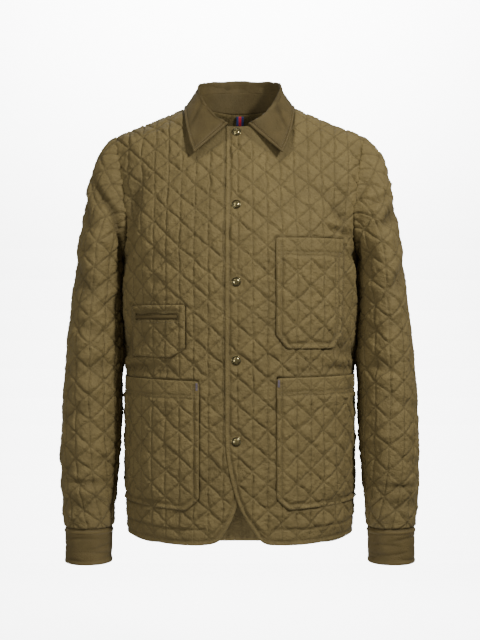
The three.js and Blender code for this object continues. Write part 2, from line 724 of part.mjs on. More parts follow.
function armholePoint(u) {
  const share = turnShare(u);
  const line = share < 0.5 ? ARMHOLE_LINE.front : ARMHOLE_LINE.back;
  return pointAlong(line, 2 * Math.min(share, 1 - share) * line.total);
}

// A line of the sleeve's cap, from the biceps ring up to the armhole
const capLine = (() => {
  const made = new Map();
  return (u) => {
    const key = turnShare(u).toFixed(4);
    if (!made.has(key)) {
      const start = ringPoint(BICEPS, u);
      const end = armholePoint(u);
      const reach = start.distanceTo(end);
      const height = clamp((end.z - ARMPIT) / 190, 0, 1);
      const facing = Math.sin(turnShare(u) * 2 * Math.PI);
      const leaving = new THREE.Vector3(-1, -0.3 * facing, -0.45 * height).normalize();
      end.addScaledVector(leaving, mix(ARMHOLE_GAP, SHOULDER_GAP, height));
      const curve = new THREE.CubicBezierCurve3(
        start,
        start.clone().addScaledVector(new THREE.Vector3(0.12 * height, 0, 1).normalize(), 0.55 * reach),
        end.clone().addScaledVector(leaving, Math.max(6, 0.2 * reach)),
        end,
      );
      made.set(key, measured(curve.getPoints(CAP_STEPS)));
    }
    return made.get(key);
  };
})();

// The sleeve's centre line below the biceps, by its length; it goes on past the sleeve's end
const SLEEVE_LINE_STEPS = 80;
const SLEEVE_LINE = (() => {
  const points = [];
  for (let i = 0; i <= 2 * SLEEVE_LINE_STEPS; i += 1) {
    const z = mix(BICEPS, SLEEVE_END, i / SLEEVE_LINE_STEPS);
    points.push(new THREE.Vector3(levelValue(SLEEVE_LEVELS, 'x', z), levelValue(SLEEVE_LEVELS, 'y', z), z));
  }
  return measured(points);
})();
const sleeveLevel = (t) => pointAlong(SLEEVE_LINE, -t).z;
const SLEEVE_LENGTH = SLEEVE_LINE.lengths[SLEEVE_LINE_STEPS];

function sleeveForm(s, t) {
  if (t > 0) {
    const line = capLine(s / ringAt(BICEPS).total);
    return pointAlong(line, t);
  }
  const z = sleeveLevel(t);
  return ringPoint(z, s / ringAt(z).total);
}

// Flattened, the sleeve is a bell-shaped cap over two seam edges
const SLEEVE_CUT = (() => {
  const points = [];
  const width = ringAt(BICEPS).total;
  const count = 28;
  for (let i = 0; i <= count; i += 1) {
    const u = mix(SLEEVE_SEAM - 1, SLEEVE_SEAM, i / count);
    const inset = (i === 0 ? 1 : 0) - (i === count ? 1 : 0);
    points.push([u * width + inset * GAP, capLine(u).total]);
  }
  const down = [];
  for (let i = 0; i <= 8; i += 1) {
    const t = -SLEEVE_LENGTH * (i / 8);
    down.push([SLEEVE_SEAM * ringAt(sleeveLevel(t)).total - GAP, t]);
  }
  const up = down.map(([s, t]) => [s * ((SLEEVE_SEAM - 1) / SLEEVE_SEAM), t]).reverse();
  return joined(points, down, up).reverse();
})();

// A plain oval patch is sewn on the left sleeve's outer side
const PATCH = { s: 4, t: 128, halfWidth: 15, halfHeight: 18, thickness: 1.1 };
const PATCH_CUT = Array.from({ length: 18 }, (_, i) => {
  const angle = (i / 18) * 2 * Math.PI;
  return [PATCH.s + PATCH.halfWidth * Math.cos(angle), PATCH.t + PATCH.halfHeight * Math.sin(angle)];
});
const sleeveFolds = (s, t) => foldHeight(SLEEVE_FOLDS, s, t) * nearness(SLEEVE_CUT, s, t);

function sleeve(hasPatch) {
  const isUnderArm = (s, t) => t > -50 && Math.abs(turnShare(s / ringAt(BICEPS).total) - 0.5) < 0.1;
  return quiltedPiece({
    outline: SLEEVE_CUT,
    place: onForm(sleeveForm, sleeveFolds),
    pressed: (s, t, corners) => (isUnderArm(s, t) || (hasPatch && isCovered(PATCH_CUT, corners)) ? 1 : 0),
  });
}

// A cuff: a plain band, a little wider than the sleeve and just below it
function cuff() {
  const [around, up] = [24, 3];
  const top = SLEEVE_END - GAP - 0.2;
  const form = (s, z) => ringPoint(z, s / ringAt(z).total);
  const sheet = gridSheet(around, up, (i, j, isTop) => {
    const z = mix(CUFF_END, top, j / up);
    const s = (i / around) * ringAt(z).total;
    const out = outward(form, s, z).setZ(0).normalize();
    const crease = j > 0 && j < up ? CUFF_CREASE * Math.sin(j * 2.1 + i * 0.9) : 0;
    const point = form(s, z).addScaledVector(out, CUFF_EASE + crease + (isTop ? 1 : -1) * (CUFF_WALL / 2));
    return [point.x, point.y, z];
  }, true);
  return closedGeometry(sheet.positions.flat(), sheet.triangles.flat());
}

// The collar: a stand that rises from the neck seam, and a fall that folds over it

// The fold and the outer edge of the collar's right half, from its front end (z 0) to the centre back
// (z 1), and how far up to the fold the seam between stand and fall runs
const COLLAR_ROWS = [
  { z: 0, fx: 17, fy: -68, fz: -39, ex: 70, ey: -94, ez: -88, seam: 0.5 },
  { z: 0.06, fx: 26, fy: -67, fz: -33, ex: 73, ey: -88, ez: -80, seam: 0.45 },
  { z: 0.14, fx: 38, fy: -61, fz: -25, ex: 77, ey: -81, ez: -70, seam: 0.5 },
  { z: 0.28, fx: 57, fy: -44, fz: -1, ex: 84, ey: -67, ez: -45, seam: 0.5 },
  { z: 0.4, fx: 66, fy: -25, fz: 20, ex: 89, ey: -38, ez: -16, seam: 0.5 },
  { z: 0.5, fx: 67, fy: -3, fz: 33, ex: 90, ey: -4, ez: -4, seam: 0.5 },
  { z: 0.62, fx: 63, fy: 20, fz: 40, ex: 86, ey: 30, ez: -8, seam: 0.52 },
  { z: 0.8, fx: 41, fy: 48, fz: 47, ex: 57, ey: 64, ez: -14, seam: 0.6 },
  { z: 1, fx: 0, fy: 64, fz: 50, ex: 0, ey: 82, ez: -18, seam: 0.66 },
];
const COLLAR_MIDDLE = -3; // the collar's ends meet beside the snaps
const COLLAR_END = 16; // and stop this far from there
const COLLAR_WALL = 1.8;
const STAND_START = 0.07;

// Half of the neck seam, from the centre front to the centre back
const NECK_SEAM = measured([
  ...neckCurve('front', NECK_FRONT).map(([s, t]) => bodyForm('front', s, t)),
  ...neckCurve('back', NECK_BACK).map(([s, t]) => bodyForm('back', -s, t)).reverse(),
]);

// The collar is read from its right front end (share 0) round the back to its left front end (share 1)
const backness = (share) => 1 - Math.abs(2 * share - 1);
const sideOf = (share) => (share < 0.5 ? -1 : 1);
function neckPoint(share) {
  const end = COLLAR_END + sideOf(share) * COLLAR_MIDDLE;
  const point = pointAlong(NECK_SEAM, mix(end, NECK_SEAM.total, backness(share)));
  return point.setX(point.x * sideOf(share));
}
function collarPoint(name, share) {
  const place = backness(share);
  const [x, y, z] = ['x', 'y', 'z'].map((axis) => levelValue(COLLAR_ROWS, name + axis, place));
  return new THREE.Vector3(sideOf(share) * x + COLLAR_MIDDLE * (1 - place) ** 2, y, z);
}
const collarSeam = (share) => neckPoint(share)
  .lerp(collarPoint('f', share), levelValue(COLLAR_ROWS, 'seam', backness(share)));

// The fall's section, from its seam on the stand over the fold to its outer edge
function fallSection(share) {
  const seam = collarSeam(share);
  const fold = collarPoint('f', share);
  const edge = collarPoint('e', share);
  const up = fold.clone().sub(neckPoint(share)).normalize();
  const down = edge.clone().sub(fold).normalize();
  const ahead = collarPoint('f', Math.min(1, share + 0.01)).sub(collarPoint('f', Math.max(0, share - 0.01)));
  const out = new THREE.Vector3(ahead.y, -ahead.x, 0).normalize();
  const near = Math.min(4, 0.5 * fold.distanceTo(seam));
  const section = new THREE.CatmullRomCurve3([
    seam,
    fold.clone().addScaledVector(up, -near).addScaledVector(out, -0.9),
    fold.clone().addScaledVector(up, 0.6),
    fold.clone().addScaledVector(down, 4).addScaledVector(out, 1.7),
    fold.clone().lerp(edge, 0.5).addScaledVector(out, 2.6),
    edge,
  ], false, 'centripetal');
  return section.getPoints(8);
}

// A sheet of even thickness over a grid of points
function thickSheet(grid, thickness) {
  const across = grid.length - 1;
  const up = grid[0].length - 1;
  return gridSheet(across, up, (i, j, isTop) => {
    const ahead = grid[Math.min(across, i + 1)][j].clone().sub(grid[Math.max(0, i - 1)][j]);
    const above = grid[i][Math.min(up, j + 1)].clone().sub(grid[i][Math.max(0, j - 1)]);
    const out = ahead.cross(above).normalize();
    return grid[i][j].clone().addScaledVector(out, (isTop ? 0.5 : -0.5) * thickness).toArray();
  });
}
const asGeometry = ({ positions, triangles }) => closedGeometry(positions.flat(), triangles.flat());
const shares = (from, to, count) => Array.from({ length: count + 1 }, (_, i) => mix(from, to, i / count));

function collarFall() {
  return asGeometry(thickSheet(shares(0, 1, 32).map(fallSection), COLLAR_WALL));
}

function collarStand() {
  const grid = shares(STAND_START, 1 - STAND_START, 24).map((share) => {
    const low = neckPoint(share);
    const high = collarSeam(share);
    const length = low.distanceTo(high);
    const at = (distance) => low.clone().lerp(high, distance / length);
    const [from, to] = [GAP + 1.2, length - GAP - 0.3];
    return [0, 1, 2].map((j) => at(mix(from, to, j / 2)));
  });
  return asGeometry(thickSheet(grid, COLLAR_WALL));
}

// Domed snaps down the front
const SNAP_PROFILE = [
  { r: 0, h: 0 }, { r: 7, h: 0 }, { r: 7, h: 1 }, { r: 6, h: 1.5 }, { r: 5, h: 1.7 }, { r: 3, h: 2.7 },
  { r: 0, h: 3.1 },
];
function snap(t) {
  const profile = SNAP_PROFILE.map(({ r, h }) => new THREE.Vector2((r * SNAP_RADIUS) / 7, h));
  const dome = new THREE.LatheGeometry(profile, 14);
  dome.deleteAttribute('normal');
  dome.deleteAttribute('uv');
  const merged = mergeVertices(dome, 1e-3);
  const form = bodyShape('front');
  const out = outward(form, SNAP_X, t);
  const turn = new THREE.Quaternion().setFromUnitVectors(new THREE.Vector3(0, 1, 0), out);
  merged.applyQuaternion(turn);
  const seat = form(SNAP_X, t).addScaledVector(out, LAP_LIFT + WALL / 2 + GAP + 0.1);
  merged.translate(seat.x, seat.y, seat.z);
  const order = Array.from(merged.index.array);
  const faces = [];
  for (let i = 0; i < order.length; i += 3) {
    const [a, b, c] = order.slice(i, i + 3);
    if (a !== b && b !== c && c !== a) faces.push(a, b, c);
  }
  return closedGeometry(Array.from(merged.attributes.position.array), faces);
}

// A tape to hang the jacket by, inside the back of the neck
function hangerLoop() {
  const [half, top] = [LOOP_WIDTH / 2, NECK_BACK - 3];
  const slack = (s, t) => -LOOP_SLACK * Math.sin((clamp(top - t, 0, LOOP_LENGTH) / LOOP_LENGTH) * Math.PI);
  return quiltedPiece({
    outline: [[-half, top - LOOP_LENGTH], [half, top - LOOP_LENGTH], [half, top], [-half, top]],
    place: onPanel(bodyShape('back'), backFolds, BACK_CUT, slack),
    layer: -WALL / 2 - GAP - 0.2 - LOOP_THICKNESS / 2,
    wall: LOOP_THICKNESS,
    pressed: plain,
  });
}

// The jacket

const model = new THREE.Group();

function addPiece(name, geometry, look) {
  const mesh = new THREE.Mesh(geometry, new THREE.MeshStandardMaterial(COLOURS[look]));
  mesh.name = name;
  model.add(mesh);
}

addPiece('back', backPanel(), 'shell');
addPiece('front_left', frontPanel(true), 'shell');
addPiece('front_right', frontPanel(false), 'shell');
addPiece('sleeve_right', sleeve(false), 'shell');
addPiece('sleeve_left', mirroredX(sleeve(true)), 'shell');
addPiece('sleeve_patch', mirroredX(quiltedPiece({
  outline: PATCH_CUT,
  place: onPanel(sleeveForm, sleeveFolds, SLEEVE_CUT),
  layer: (WALL + PATCH.thickness) / 2 + GAP,
  wall: PATCH.thickness,
  pressed: plain,
})), 'patch');
addPiece('cuff_right', cuff(), 'shell');
addPiece('cuff_left', mirroredX(cuff()), 'shell');
addPiece('collar_stand', collarStand(), 'collar');
addPiece('collar_fall', collarFall(), 'collar');
addPiece('pocket_chest', patchPocket(CHEST_POCKET, -226, true), 'shell');
addPiece('pocket_hip_left', patchPocket(HIP_POCKET_LEFT, -443, true), 'shell');
addPiece('pocket_hip_right', patchPocket(HIP_POCKET_RIGHT, -446, false), 'shell');
addPiece('pocket_welt', quiltedPiece({
  outline: WELT_POCKET,
  holes: [WELT_SLOT],
  place: onFront(false),
  layer: POCKET_LAYER,
}), 'shell');
addPiece('welt_lip', quiltedPiece({
  outline: WELT_LIP,
  place: onFront(false),
  layer: POCKET_LAYER + 0.3,
  wall: WALL + 0.6,
  pressed: plain,
}), 'shell');
SNAP_LEVELS.forEach((t, i) => addPiece(`snap_${i + 1}`, snap(t), 'metal'));
addPiece('hanger_loop', hangerLoop(), 'tape');

export default model;
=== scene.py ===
"""A quilted jacket, filled out as if worn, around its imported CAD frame."""

import math

import bpy
import numpy as np
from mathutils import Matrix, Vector
from mathutils.geometry import delaunay_2d_cdt


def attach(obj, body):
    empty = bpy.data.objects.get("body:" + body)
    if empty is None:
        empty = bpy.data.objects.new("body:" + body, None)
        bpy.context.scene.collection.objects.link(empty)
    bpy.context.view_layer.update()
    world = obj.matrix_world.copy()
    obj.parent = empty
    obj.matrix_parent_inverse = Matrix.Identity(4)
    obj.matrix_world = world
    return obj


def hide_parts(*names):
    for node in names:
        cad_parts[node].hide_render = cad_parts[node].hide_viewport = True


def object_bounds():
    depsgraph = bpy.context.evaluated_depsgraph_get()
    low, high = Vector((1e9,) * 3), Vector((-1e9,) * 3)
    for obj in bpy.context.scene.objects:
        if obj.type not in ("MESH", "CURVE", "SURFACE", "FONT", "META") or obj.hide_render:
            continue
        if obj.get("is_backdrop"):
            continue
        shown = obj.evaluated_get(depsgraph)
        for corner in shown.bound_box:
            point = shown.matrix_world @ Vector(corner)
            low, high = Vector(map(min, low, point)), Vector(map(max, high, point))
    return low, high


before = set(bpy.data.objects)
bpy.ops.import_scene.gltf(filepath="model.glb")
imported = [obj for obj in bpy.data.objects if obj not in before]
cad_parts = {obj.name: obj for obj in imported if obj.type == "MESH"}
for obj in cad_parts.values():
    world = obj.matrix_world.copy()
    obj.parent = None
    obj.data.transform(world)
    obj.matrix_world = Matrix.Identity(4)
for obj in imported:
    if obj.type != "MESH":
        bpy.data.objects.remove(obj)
CAD_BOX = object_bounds()

bl_info = {
    "name": "Quilted jacket",
    "version": (1, 0, 0),
    "blender": (4, 5, 0),
    "location": "3D View > Sidebar > Jacket",
    "description": "Builds a quilted jacket as cut and sewn cloth around its CAD solids",
    "category": "Object",
}

# Sizes are millimetres until a mesh is made. Cloth is drawn flat, as it is cut: s runs around the
# body or the sleeve and t runs up it.
MM = 0.001

WALL = 1.3
COLUMN = 23
CELL = 41
FIRST_COLUMN = -3
FIRST_ROW = 7
SLANT = 20.5 / COLUMN  # rise of a slanting quilting line
ACROSS_SLANT = 1 / math.hypot(1, SLANT)
QUILT_DIRECTIONS = (
    (0, 1), (ACROSS_SLANT, SLANT * ACROSS_SLANT), (ACROSS_SLANT, -SLANT * ACROSS_SLANT),
)

ARMPIT = -250
HEM_SIDE = -697
HEM_FRONT = -704
HEM_BACK = -737
YOKE_RISE = 150
UPRIGHT = 0.955
NECK_HALF = 76
SHOULDER_HALF = 203
LEFT_EDGE = -22.5
RIGHT_EDGE = 12
LAP_LIFT = 2.1
SNAP_X = -6
SNAP_LEVELS = (-42, -172, -295, -417, -543)
NECK_FRONT = -32

WARP = 1.3  # how far the quilting wanders
FAR = 1e3
ARMHOLE_GAP = 0.5
TOP_MARGIN, LOW_MARGIN = 1.1, 3.2  # bare rim between a cut's edge and its lattice
UV_START = (0.4, 0.75)  # metres, so that no cloth has negative UVs

# Rows of stitching, as distances from an edge
HEM_ROWS = (5, 24)
COLLAR_ROWS_IN = (1.6, 5.6)
POCKET_ROWS_IN = (1.7, 8)
MOUTH_BAND = 22
MOUTH_REACH = 12  # a cut's corners this near to the mouth belong to it

# z, half-width, depth to the front and to the back, squareness
BODY_LEVELS = np.array([
    (-770, 183.5, 142, 118, 2.3), (-700, 184, 141, 115, 2.3), (-560, 184, 139, 108, 2.35),
    (-450, 184, 138, 104, 2.4), (-350, 185, 138, 108, 2.4), (-250, 188, 134, 116, 2.4),
    (-210, 193, 128, 118, 2.4), (-160, 201, 113, 115, 2.35), (-110, 208, 93, 108, 2.3),
    (-75, 211, 77, 98, 2.3), (-58, 205, 69.5, 92, 2.25), (-42, 168, 62.5, 85, 2.2),
    (-24, 124, 56, 76, 2.1), (-4, 78, 50, 61, 2), (14, 34, 46, 52, 2),
])
# z, centre x and y, half-width across and half-depth
SLEEVE_LEVELS = np.array([
    (-750, -246, -34, 35.5, 42), (-690, -245.5, -33, 36.5, 43), (-640, -246.5, -30, 40, 51),
    (-585, -246.5, -26, 43, 57), (-536, -244.5, -22, 44, 61), (-486, -243, -17, 43.5, 65),
    (-440, -242, -13, 41, 68), (-350, -239, -8, 36.5, 72), (-275, -233, -4, 33, 75),
])
BICEPS = -275
SLEEVE_END = -689
CUFF_END = -745
SLEEVE_SEAM = 0.43

# Folds: s, t, direction in degrees, length, width and height
FRONT_FOLDS = (
    (-196, -205, 68, 70, 17, -7), (-214, -300, 80, 60, 16, 6), (-205, -395, 15, 60, 18, -6),
    (-150, -620, 88, 110, 26, 4), (188, -208, -50, 62, 15, -7), (214, -310, -75, 70, 16, 6),
    (196, -405, -18, 62, 18, -6), (160, -630, 88, 110, 26, 4),
)
FRONT_SMALL_FOLDS = (
    (-176, -150, 60, 42, 8, -2.4), (-160, -185, 66, 50, 9, 2.2), (-120, -120, 40, 45, 10, -1.4),
    (-228, -255, 20, 40, 8, -2.2), (-190, -262, 8, 45, 8, -1.8), (-120, -285, -12, 55, 9, 1.6),
    (-60, -170, 82, 60, 11, -1.6), (-38, -300, 86, 80, 10, 1.5), (-150, -428, 6, 60, 8, -2.2),
    (-100, -520, 62, 55, 12, 1.6), (-45, -560, 80, 90, 12, -1.8), (-125, -672, 4, 50, 9, 1.6),
    (-210, -560, 85, 80, 12, -2.2), (-228, -470, 40, 40, 9, 2),
    (172, -150, -58, 42, 8, -2.2), (150, -190, -62, 48, 9, 2), (110, -130, -42, 44, 10, -1.4),
    (226, -262, -22, 40, 8, -2.4), (205, -250, 15, 40, 8, -1.8), (42, -190, 82, 62, 10, 1.5),
    (38, -330, -84, 84, 10, -1.5), (120, -418, -4, 70, 8, -2), (206, -470, -55, 50, 10, -2.2),
    (105, -540, -60, 52, 12, 1.7), (40, -590, -80, 90, 12, -1.6), (140, -676, -3, 60, 9, 1.6),
    (220, -590, -84, 80, 12, -2.2),
    (-192, -431, 4, 48, 5.5, -4.6), (-192, -418, 4, 52, 8, 3.2), (-120, -437, 2, 30, 5, -2.4),
    (178, -431, -3, 46, 5.5, -4.8), (178, -418, -3, 50, 8, 3.2), (100, -434, -2, 34, 5, -2.4),
    (168, -214, -8, 34, 5, -3.8), (168, -202, -8, 34, 7, 2.8), (-140, -322, -3, 40, 5, -1.8),
)
BACK_FOLDS = (
    (-188, -215, 62, 75, 18, -7), (188, -215, -62, 75, 18, -7), (0, -440, 5, 120, 22, -4),
    (-95, -600, 86, 130, 30, 4), (95, -600, 94, 130, 30, 4),
)
BACK_SMALL_FOLDS = (
    (-165, -160, 55, 50, 10, 2.2), (-205, -265, 25, 48, 9, -2.6), (-150, -300, 15, 65, 10, 1.8),
    (-60, -395, -7, 95, 11, -2), (70, -462, 9, 90, 10, 2), (150, -340, -22, 70, 10, -2),
    (208, -290, -30, 45, 9, 2.4), (168, -165, -54, 52, 10, 2), (30, -160, 4, 120, 14, -1.8),
    (-30, -95, -3, 90, 12, 1.5), (-190, -520, 80, 95, 13, -2.4), (-40, -640, 84, 100, 14, -2),
    (45, -560, 97, 110, 13, 1.8), (190, -560, 99, 90, 13, -2.4), (0, -520, -5, 110, 12, 1.6),
    (-235, -420, 20, 45, 9, -2.4), (236, -430, -18, 45, 9, -2.2),
)
SLEEVE_FOLDS = (
    (40, 92, -38, 55, 13, -6), (95, 48, -30, 45, 13, 5), (70, -20, -35, 60, 15, -5),
    (120, -150, 10, 45, 14, -5), (-110, 70, 40, 60, 14, -6), (60, -375, 4, 50, 12, -4),
)
SLEEVE_SMALL_FOLDS = {
    "right": (
        (70, 120, -38, 48, 4.6, -8.5), (60, 108, -38, 45, 9, 4), (112, 76, -50, 34, 5, -8.5),
        (100, 66, -50, 30, 8, 4), (141, 10, -77, 52, 6, -6.5), (128, 8, -77, 45, 9, 2.5),
        (148, -100, -86, 80, 8, -3), (70, -338, -4, 36, 5, -3), (80, -352, 6, 34, 6, 2.2),
        (20, 130, -20, 40, 9, 2), (62, 110, -48, 55, 8, -3), (30, 40, -30, 50, 9, 2.2),
        (110, -40, 30, 50, 9, 2.6), (88, -95, -22, 55, 9, -2.4), (30, -110, 14, 45, 9, 1.8),
        (104, -190, -12, 48, 9, 2.4), (60, -230, 22, 52, 9, -2.4), (90, -285, -14, 46, 8, 2.2),
        (40, -320, 10, 45, 8, -2.2), (86, -345, -8, 42, 7, -2.4), (30, -392, -5, 40, 7, 2),
        (-60, -60, -25, 60, 10, -2.6), (-105, -130, 18, 55, 10, 2.4), (-40, -200, -16, 55, 9, -2.4),
        (-100, -270, 12, 50, 9, -2.2), (-50, -340, -10, 50, 8, 2), (-60, 60, 30, 55, 10, -2.2),
        (-110, -375, 6, 45, 8, -2.2),
    ),
    "left": (
        (60, 122, -18, 42, 5.5, -4.6), (62, 106, -18, 40, 8, 3.2), (66, 84, -22, 38, 5.5, -4),
        (20, 96, -14, 34, 6, -2.6), (84, 62, -30, 36, 8, 2.6), (58, 178, -25, 22, 4.5, -3.4),
        (66, 166, -30, 22, 6, 2.4), (84, 140, -48, 30, 5, -5.5),
        (108, 105, -58, 34, 5.5, -7), (98, 98, -58, 30, 8, 2.6), (136, 55, -72, 40, 6, -4.6),
        (124, 50, -72, 40, 9, 2.8), (148, -60, -86, 80, 8, -3.5), (84, -345, 5, 36, 5, -3),
        (26, 138, -14, 42, 9, 2), (58, 96, -52, 58, 8, -3), (36, 30, -38, 52, 9, 2.4),
        (104, -28, 24, 50, 9, 2.4), (80, -82, -30, 55, 9, -2.6), (34, -128, 20, 45, 9, 1.8),
        (110, -176, -18, 48, 9, 2.2), (52, -218, 16, 52, 9, -2.6), (96, -268, -10, 46, 8, 2.2),
        (46, -306, 14, 45, 8, -2.4), (78, -352, -12, 42, 7, -2.4), (24, -386, -3, 40, 7, 2),
        (-66, -48, -20, 60, 10, -2.4), (-98, -142, 22, 55, 10, 2.4), (-46, -188, -20, 55, 9, -2.6),
        (-94, -256, 16, 50, 9, -2.2), (-56, -328, -6, 50, 8, 2.2), (-66, 72, 26, 55, 10, -2.2),
        (-104, -366, 10, 45, 8, -2.2),
    ),
}

# Pocket cuts on the fronts
CHEST_POCKET = ((56, -226), (56, -377), (73, -399), (154, -399), (172, -377), (176, -226))
WELT_POCKET = ((-86, -331), (-190, -331), (-190, -411), (-109, -413), (-86, -399))
WELT_SLOT = ((-98, -344), (-182, -344), (-182, -353.5), (-98, -353.5))
WELT_STITCH = np.array([(-94, -340), (-186, -340)], float)
LIP_ENDS, LIP_EDGES = (-181.4, -98.6), (-351.8, -346.6)
POCKET_LAYER = 1.9
UNDER_COLLAR = ((-92, 40), (-92, -72), (-77, -92), (0, -40), (66, -92), (86, -72), (92, 40))

# Front edges round into the hem
FRONT_HEM = ((175, -700), (110, -704), (62, HEM_FRONT))
FRONT_CORNER = (
    (37, -700), (20, -680), (2, -650), (-9, -620), (-16, -592), (-21, -560), (LEFT_EDGE, -530),
)
UNDER_CORNER = (
    (35, -698), (24, -684), (12, -662), (2, -632), (-7, -596), (-11, -560), (-RIGHT_EDGE, -530),
)
BACK_DROP = ((1, 0), (0.9, 0.32), (0.66, 0.86), (0.4, 1))
ARMHOLES = {
    "front": ((201, -112), (199, -165), (206, -208), (226, -238)),
    "back": ((206, -100), (204, -160), (207, -205), (222, -238)),
}

# The collar's fold and outer edge from its front end to the centre back, and its stand's share
COLLAR_ROWS = np.array([
    (0, 17, -68, -39, 70, -94, -88, 0.5), (0.06, 26, -67, -33, 73, -88, -80, 0.45),
    (0.14, 38, -61, -25, 77, -81, -70, 0.5), (0.28, 57, -44, -1, 84, -67, -45, 0.5),
    (0.4, 66, -25, 20, 89, -38, -16, 0.5), (0.5, 67, -3, 33, 90, -4, -4, 0.5),
    (0.62, 63, 20, 40, 86, 30, -8, 0.52), (0.8, 41, 48, 47, 57, 64, -14, 0.6),
    (1, 0, 64, 50, 0, 82, -18, 0.66),
])
COLLAR_MIDDLE = -3
COLLAR_END = 16
COLLAR_WALL = 1.8
STAND_START = 0.07
# Share of the way round, distance from the edge, direction in degrees and height
COLLAR_WAVES = (
    (0.1, 30, 70, -1.2), (0.2, 24, 55, 1.0), (0.32, 18, 80, -1.0),
    (0.7, 20, 100, -1.0), (0.82, 26, 120, 1.0), (0.91, 30, 110, -1.2),
)

PATCH_AT, PATCH_SIZE = (4, 128), (15, 18)


# Maths ------------------------------------------------------------------------------------------

def mix(a, b, w):
    return a + (b - a) * w


def smooth(x):
    x = np.clip(x, 0, 1)
    return x * x * (3 - 2 * x)


def unit(v):
    return v / np.linalg.norm(v, axis=-1, keepdims=True)


def hermite(a, b, slope_a, slope_b, w):
    """A smooth way from a to b that starts and ends at the given slopes."""
    w2, w3 = w * w, w * w * w
    return (a * (2 * w3 - 3 * w2 + 1) + slope_a * (w3 - 2 * w2 + w)
            + b * (3 * w2 - 2 * w3) + slope_b * (w3 - w2))


def bilinear(corner, u, v):
    """A reading between the four corners of a table's cell."""
    return mix(mix(corner(0, 0), corner(1, 0), u), mix(corner(0, 1), corner(1, 1), u), v)


def level_value(rows, column, z):
    """A smooth reading of one column of a table of levels."""
    z = np.asarray(z, float)
    levels, values = rows[:, 0], rows[:, column]
    last = len(rows) - 1
    i = np.clip(np.searchsorted(levels, z, side="left") - 1, 0, last - 1)
    span = levels[i + 1] - levels[i]
    slope = lambda a, b: (values[b] - values[a]) / (levels[b] - levels[a]) * span
    return hermite(values[i], values[i + 1], slope(np.maximum(0, i - 1), i + 1),
                   slope(i, np.minimum(last, i + 2)), np.clip((z - levels[i]) / span, 0, 1))


def lengths_of(points, axis=0):
    """Length along a line of points, from its start."""
    steps = np.linalg.norm(np.diff(points, axis=axis), axis=-1)
    zero = np.zeros_like(np.take(steps, [0], axis=axis))
    return np.cumsum(np.concatenate([zero, steps], axis=axis), axis=axis)


def read_line(points, lengths, at):
    """Points at given lengths along a line; past an end the line goes straight on."""
    at = np.asarray(at, float)
    i = np.clip(np.searchsorted(lengths, at) - 1, 0, len(lengths) - 2)
    w = (at - lengths[i]) / (lengths[i + 1] - lengths[i])
    return points[i] + (points[i + 1] - points[i]) * w[..., None]


def fold_height(folds, s, t):
    height = np.zeros(np.shape(s))
    for fold_s, fold_t, degrees, length, width, rise in folds:
        turn = math.radians(degrees)
        ds, dt = s - fold_s, t - fold_t
        along = (ds * math.cos(turn) + dt * math.sin(turn)) / length
        across = (dt * math.cos(turn) - ds * math.sin(turn)) / width
        height = height + rise * np.exp(-along * along - across * across)
    return height


def noise(x, y, seed):
    """Smooth seeded noise from -1 to 1 with a period of about 2 units."""
    table = np.random.default_rng(seed).uniform(-1, 1, (256, 256))
    i, j = np.floor(x).astype(int), np.floor(y).astype(int)
    corner = lambda a, b: table[(i + a) % 256, (j + b) % 256]
    return bilinear(corner, smooth(x - i), smooth(y - j))


def is_inside(polygon, s, t):
    inside = np.zeros(np.shape(s), bool)
    points = np.asarray(polygon, float)
    for (s0, t0), (s1, t1) in zip(points, np.roll(points, 1, axis=0)):
        if t0 == t1:
            continue
        inside ^= ((t0 > t) != (t1 > t)) & (s < (s1 - s0) * (t - t0) / (t1 - t0) + s0)
    return inside


def line_distance(line, s, t, closed=False):
    """Distance from points to a line of points."""
    points = np.asarray(line, float)
    ends = np.roll(points, -1, axis=0) if closed else points[1:]
    starts = points if closed else points[:-1]
    best = np.full(np.shape(s), 1e9)
    for (s0, t0), (s1, t1) in zip(starts, ends):
        ds, dt = s1 - s0, t1 - t0
        size = ds * ds + dt * dt
        if size == 0:
            continue
        w = np.clip(((s - s0) * ds + (t - t0) * dt) / size, 0, 1)
        best = np.minimum(best, (s - s0 - ds * w) ** 2 + (t - t0 - dt * w) ** 2)
    return np.sqrt(best)


def ringed(line):
    """A closed line with its start repeated at its end."""
    return np.vstack([line, line[:1]])


def evenly(points, step, closed=False):
    """Resamples a line at even steps, keeping its sharp corners."""
    points = np.asarray(points, float)
    if closed:
        points = ringed(points)
    out = []
    for a, b in zip(points[:-1], points[1:]):
        count = max(1, round(math.dist(a, b) / step))
        out.extend(mix(a, b, k / count) for k in range(count))
    return np.array(out if closed else [*out, points[-1]])


def curve_through(points, step=6):
    """Even points along a smooth curve through the given points."""
    p = np.asarray(points, float)
    p = np.vstack([p[:1], p, p[-1:]])
    w = np.linspace(0, 1, 24, endpoint=False)[:, None]
    fine = np.vstack([hermite(b, c, (c - a) / 2, (d - b) / 2, w)
                      for a, b, c, d in zip(p, p[1:], p[2:], p[3:])] + [p[-1:]])
    lengths = lengths_of(fine)
    count = max(2, round(lengths[-1] / step))
    return read_line(fine, lengths, np.linspace(0, lengths[-1], count + 1))


def mirrored(points):
    return np.asarray(points)[::-1] * (-1, 1)


def clockwise(points):
    points = np.asarray(points, float)
    s, t = points.T
    return points if np.dot(s, np.roll(t, -1)) < np.dot(t, np.roll(s, -1)) else points[::-1]


def offset_line(points, distance):
    """The line moved sideways to its left by a distance."""
    points = np.asarray(points, float)
    ahead = unit(np.gradient(points, axis=0))
    return points + np.stack([-ahead[:, 1], ahead[:, 0]], -1) * distance


# Forms ------------------------------------------------------------------------------------------

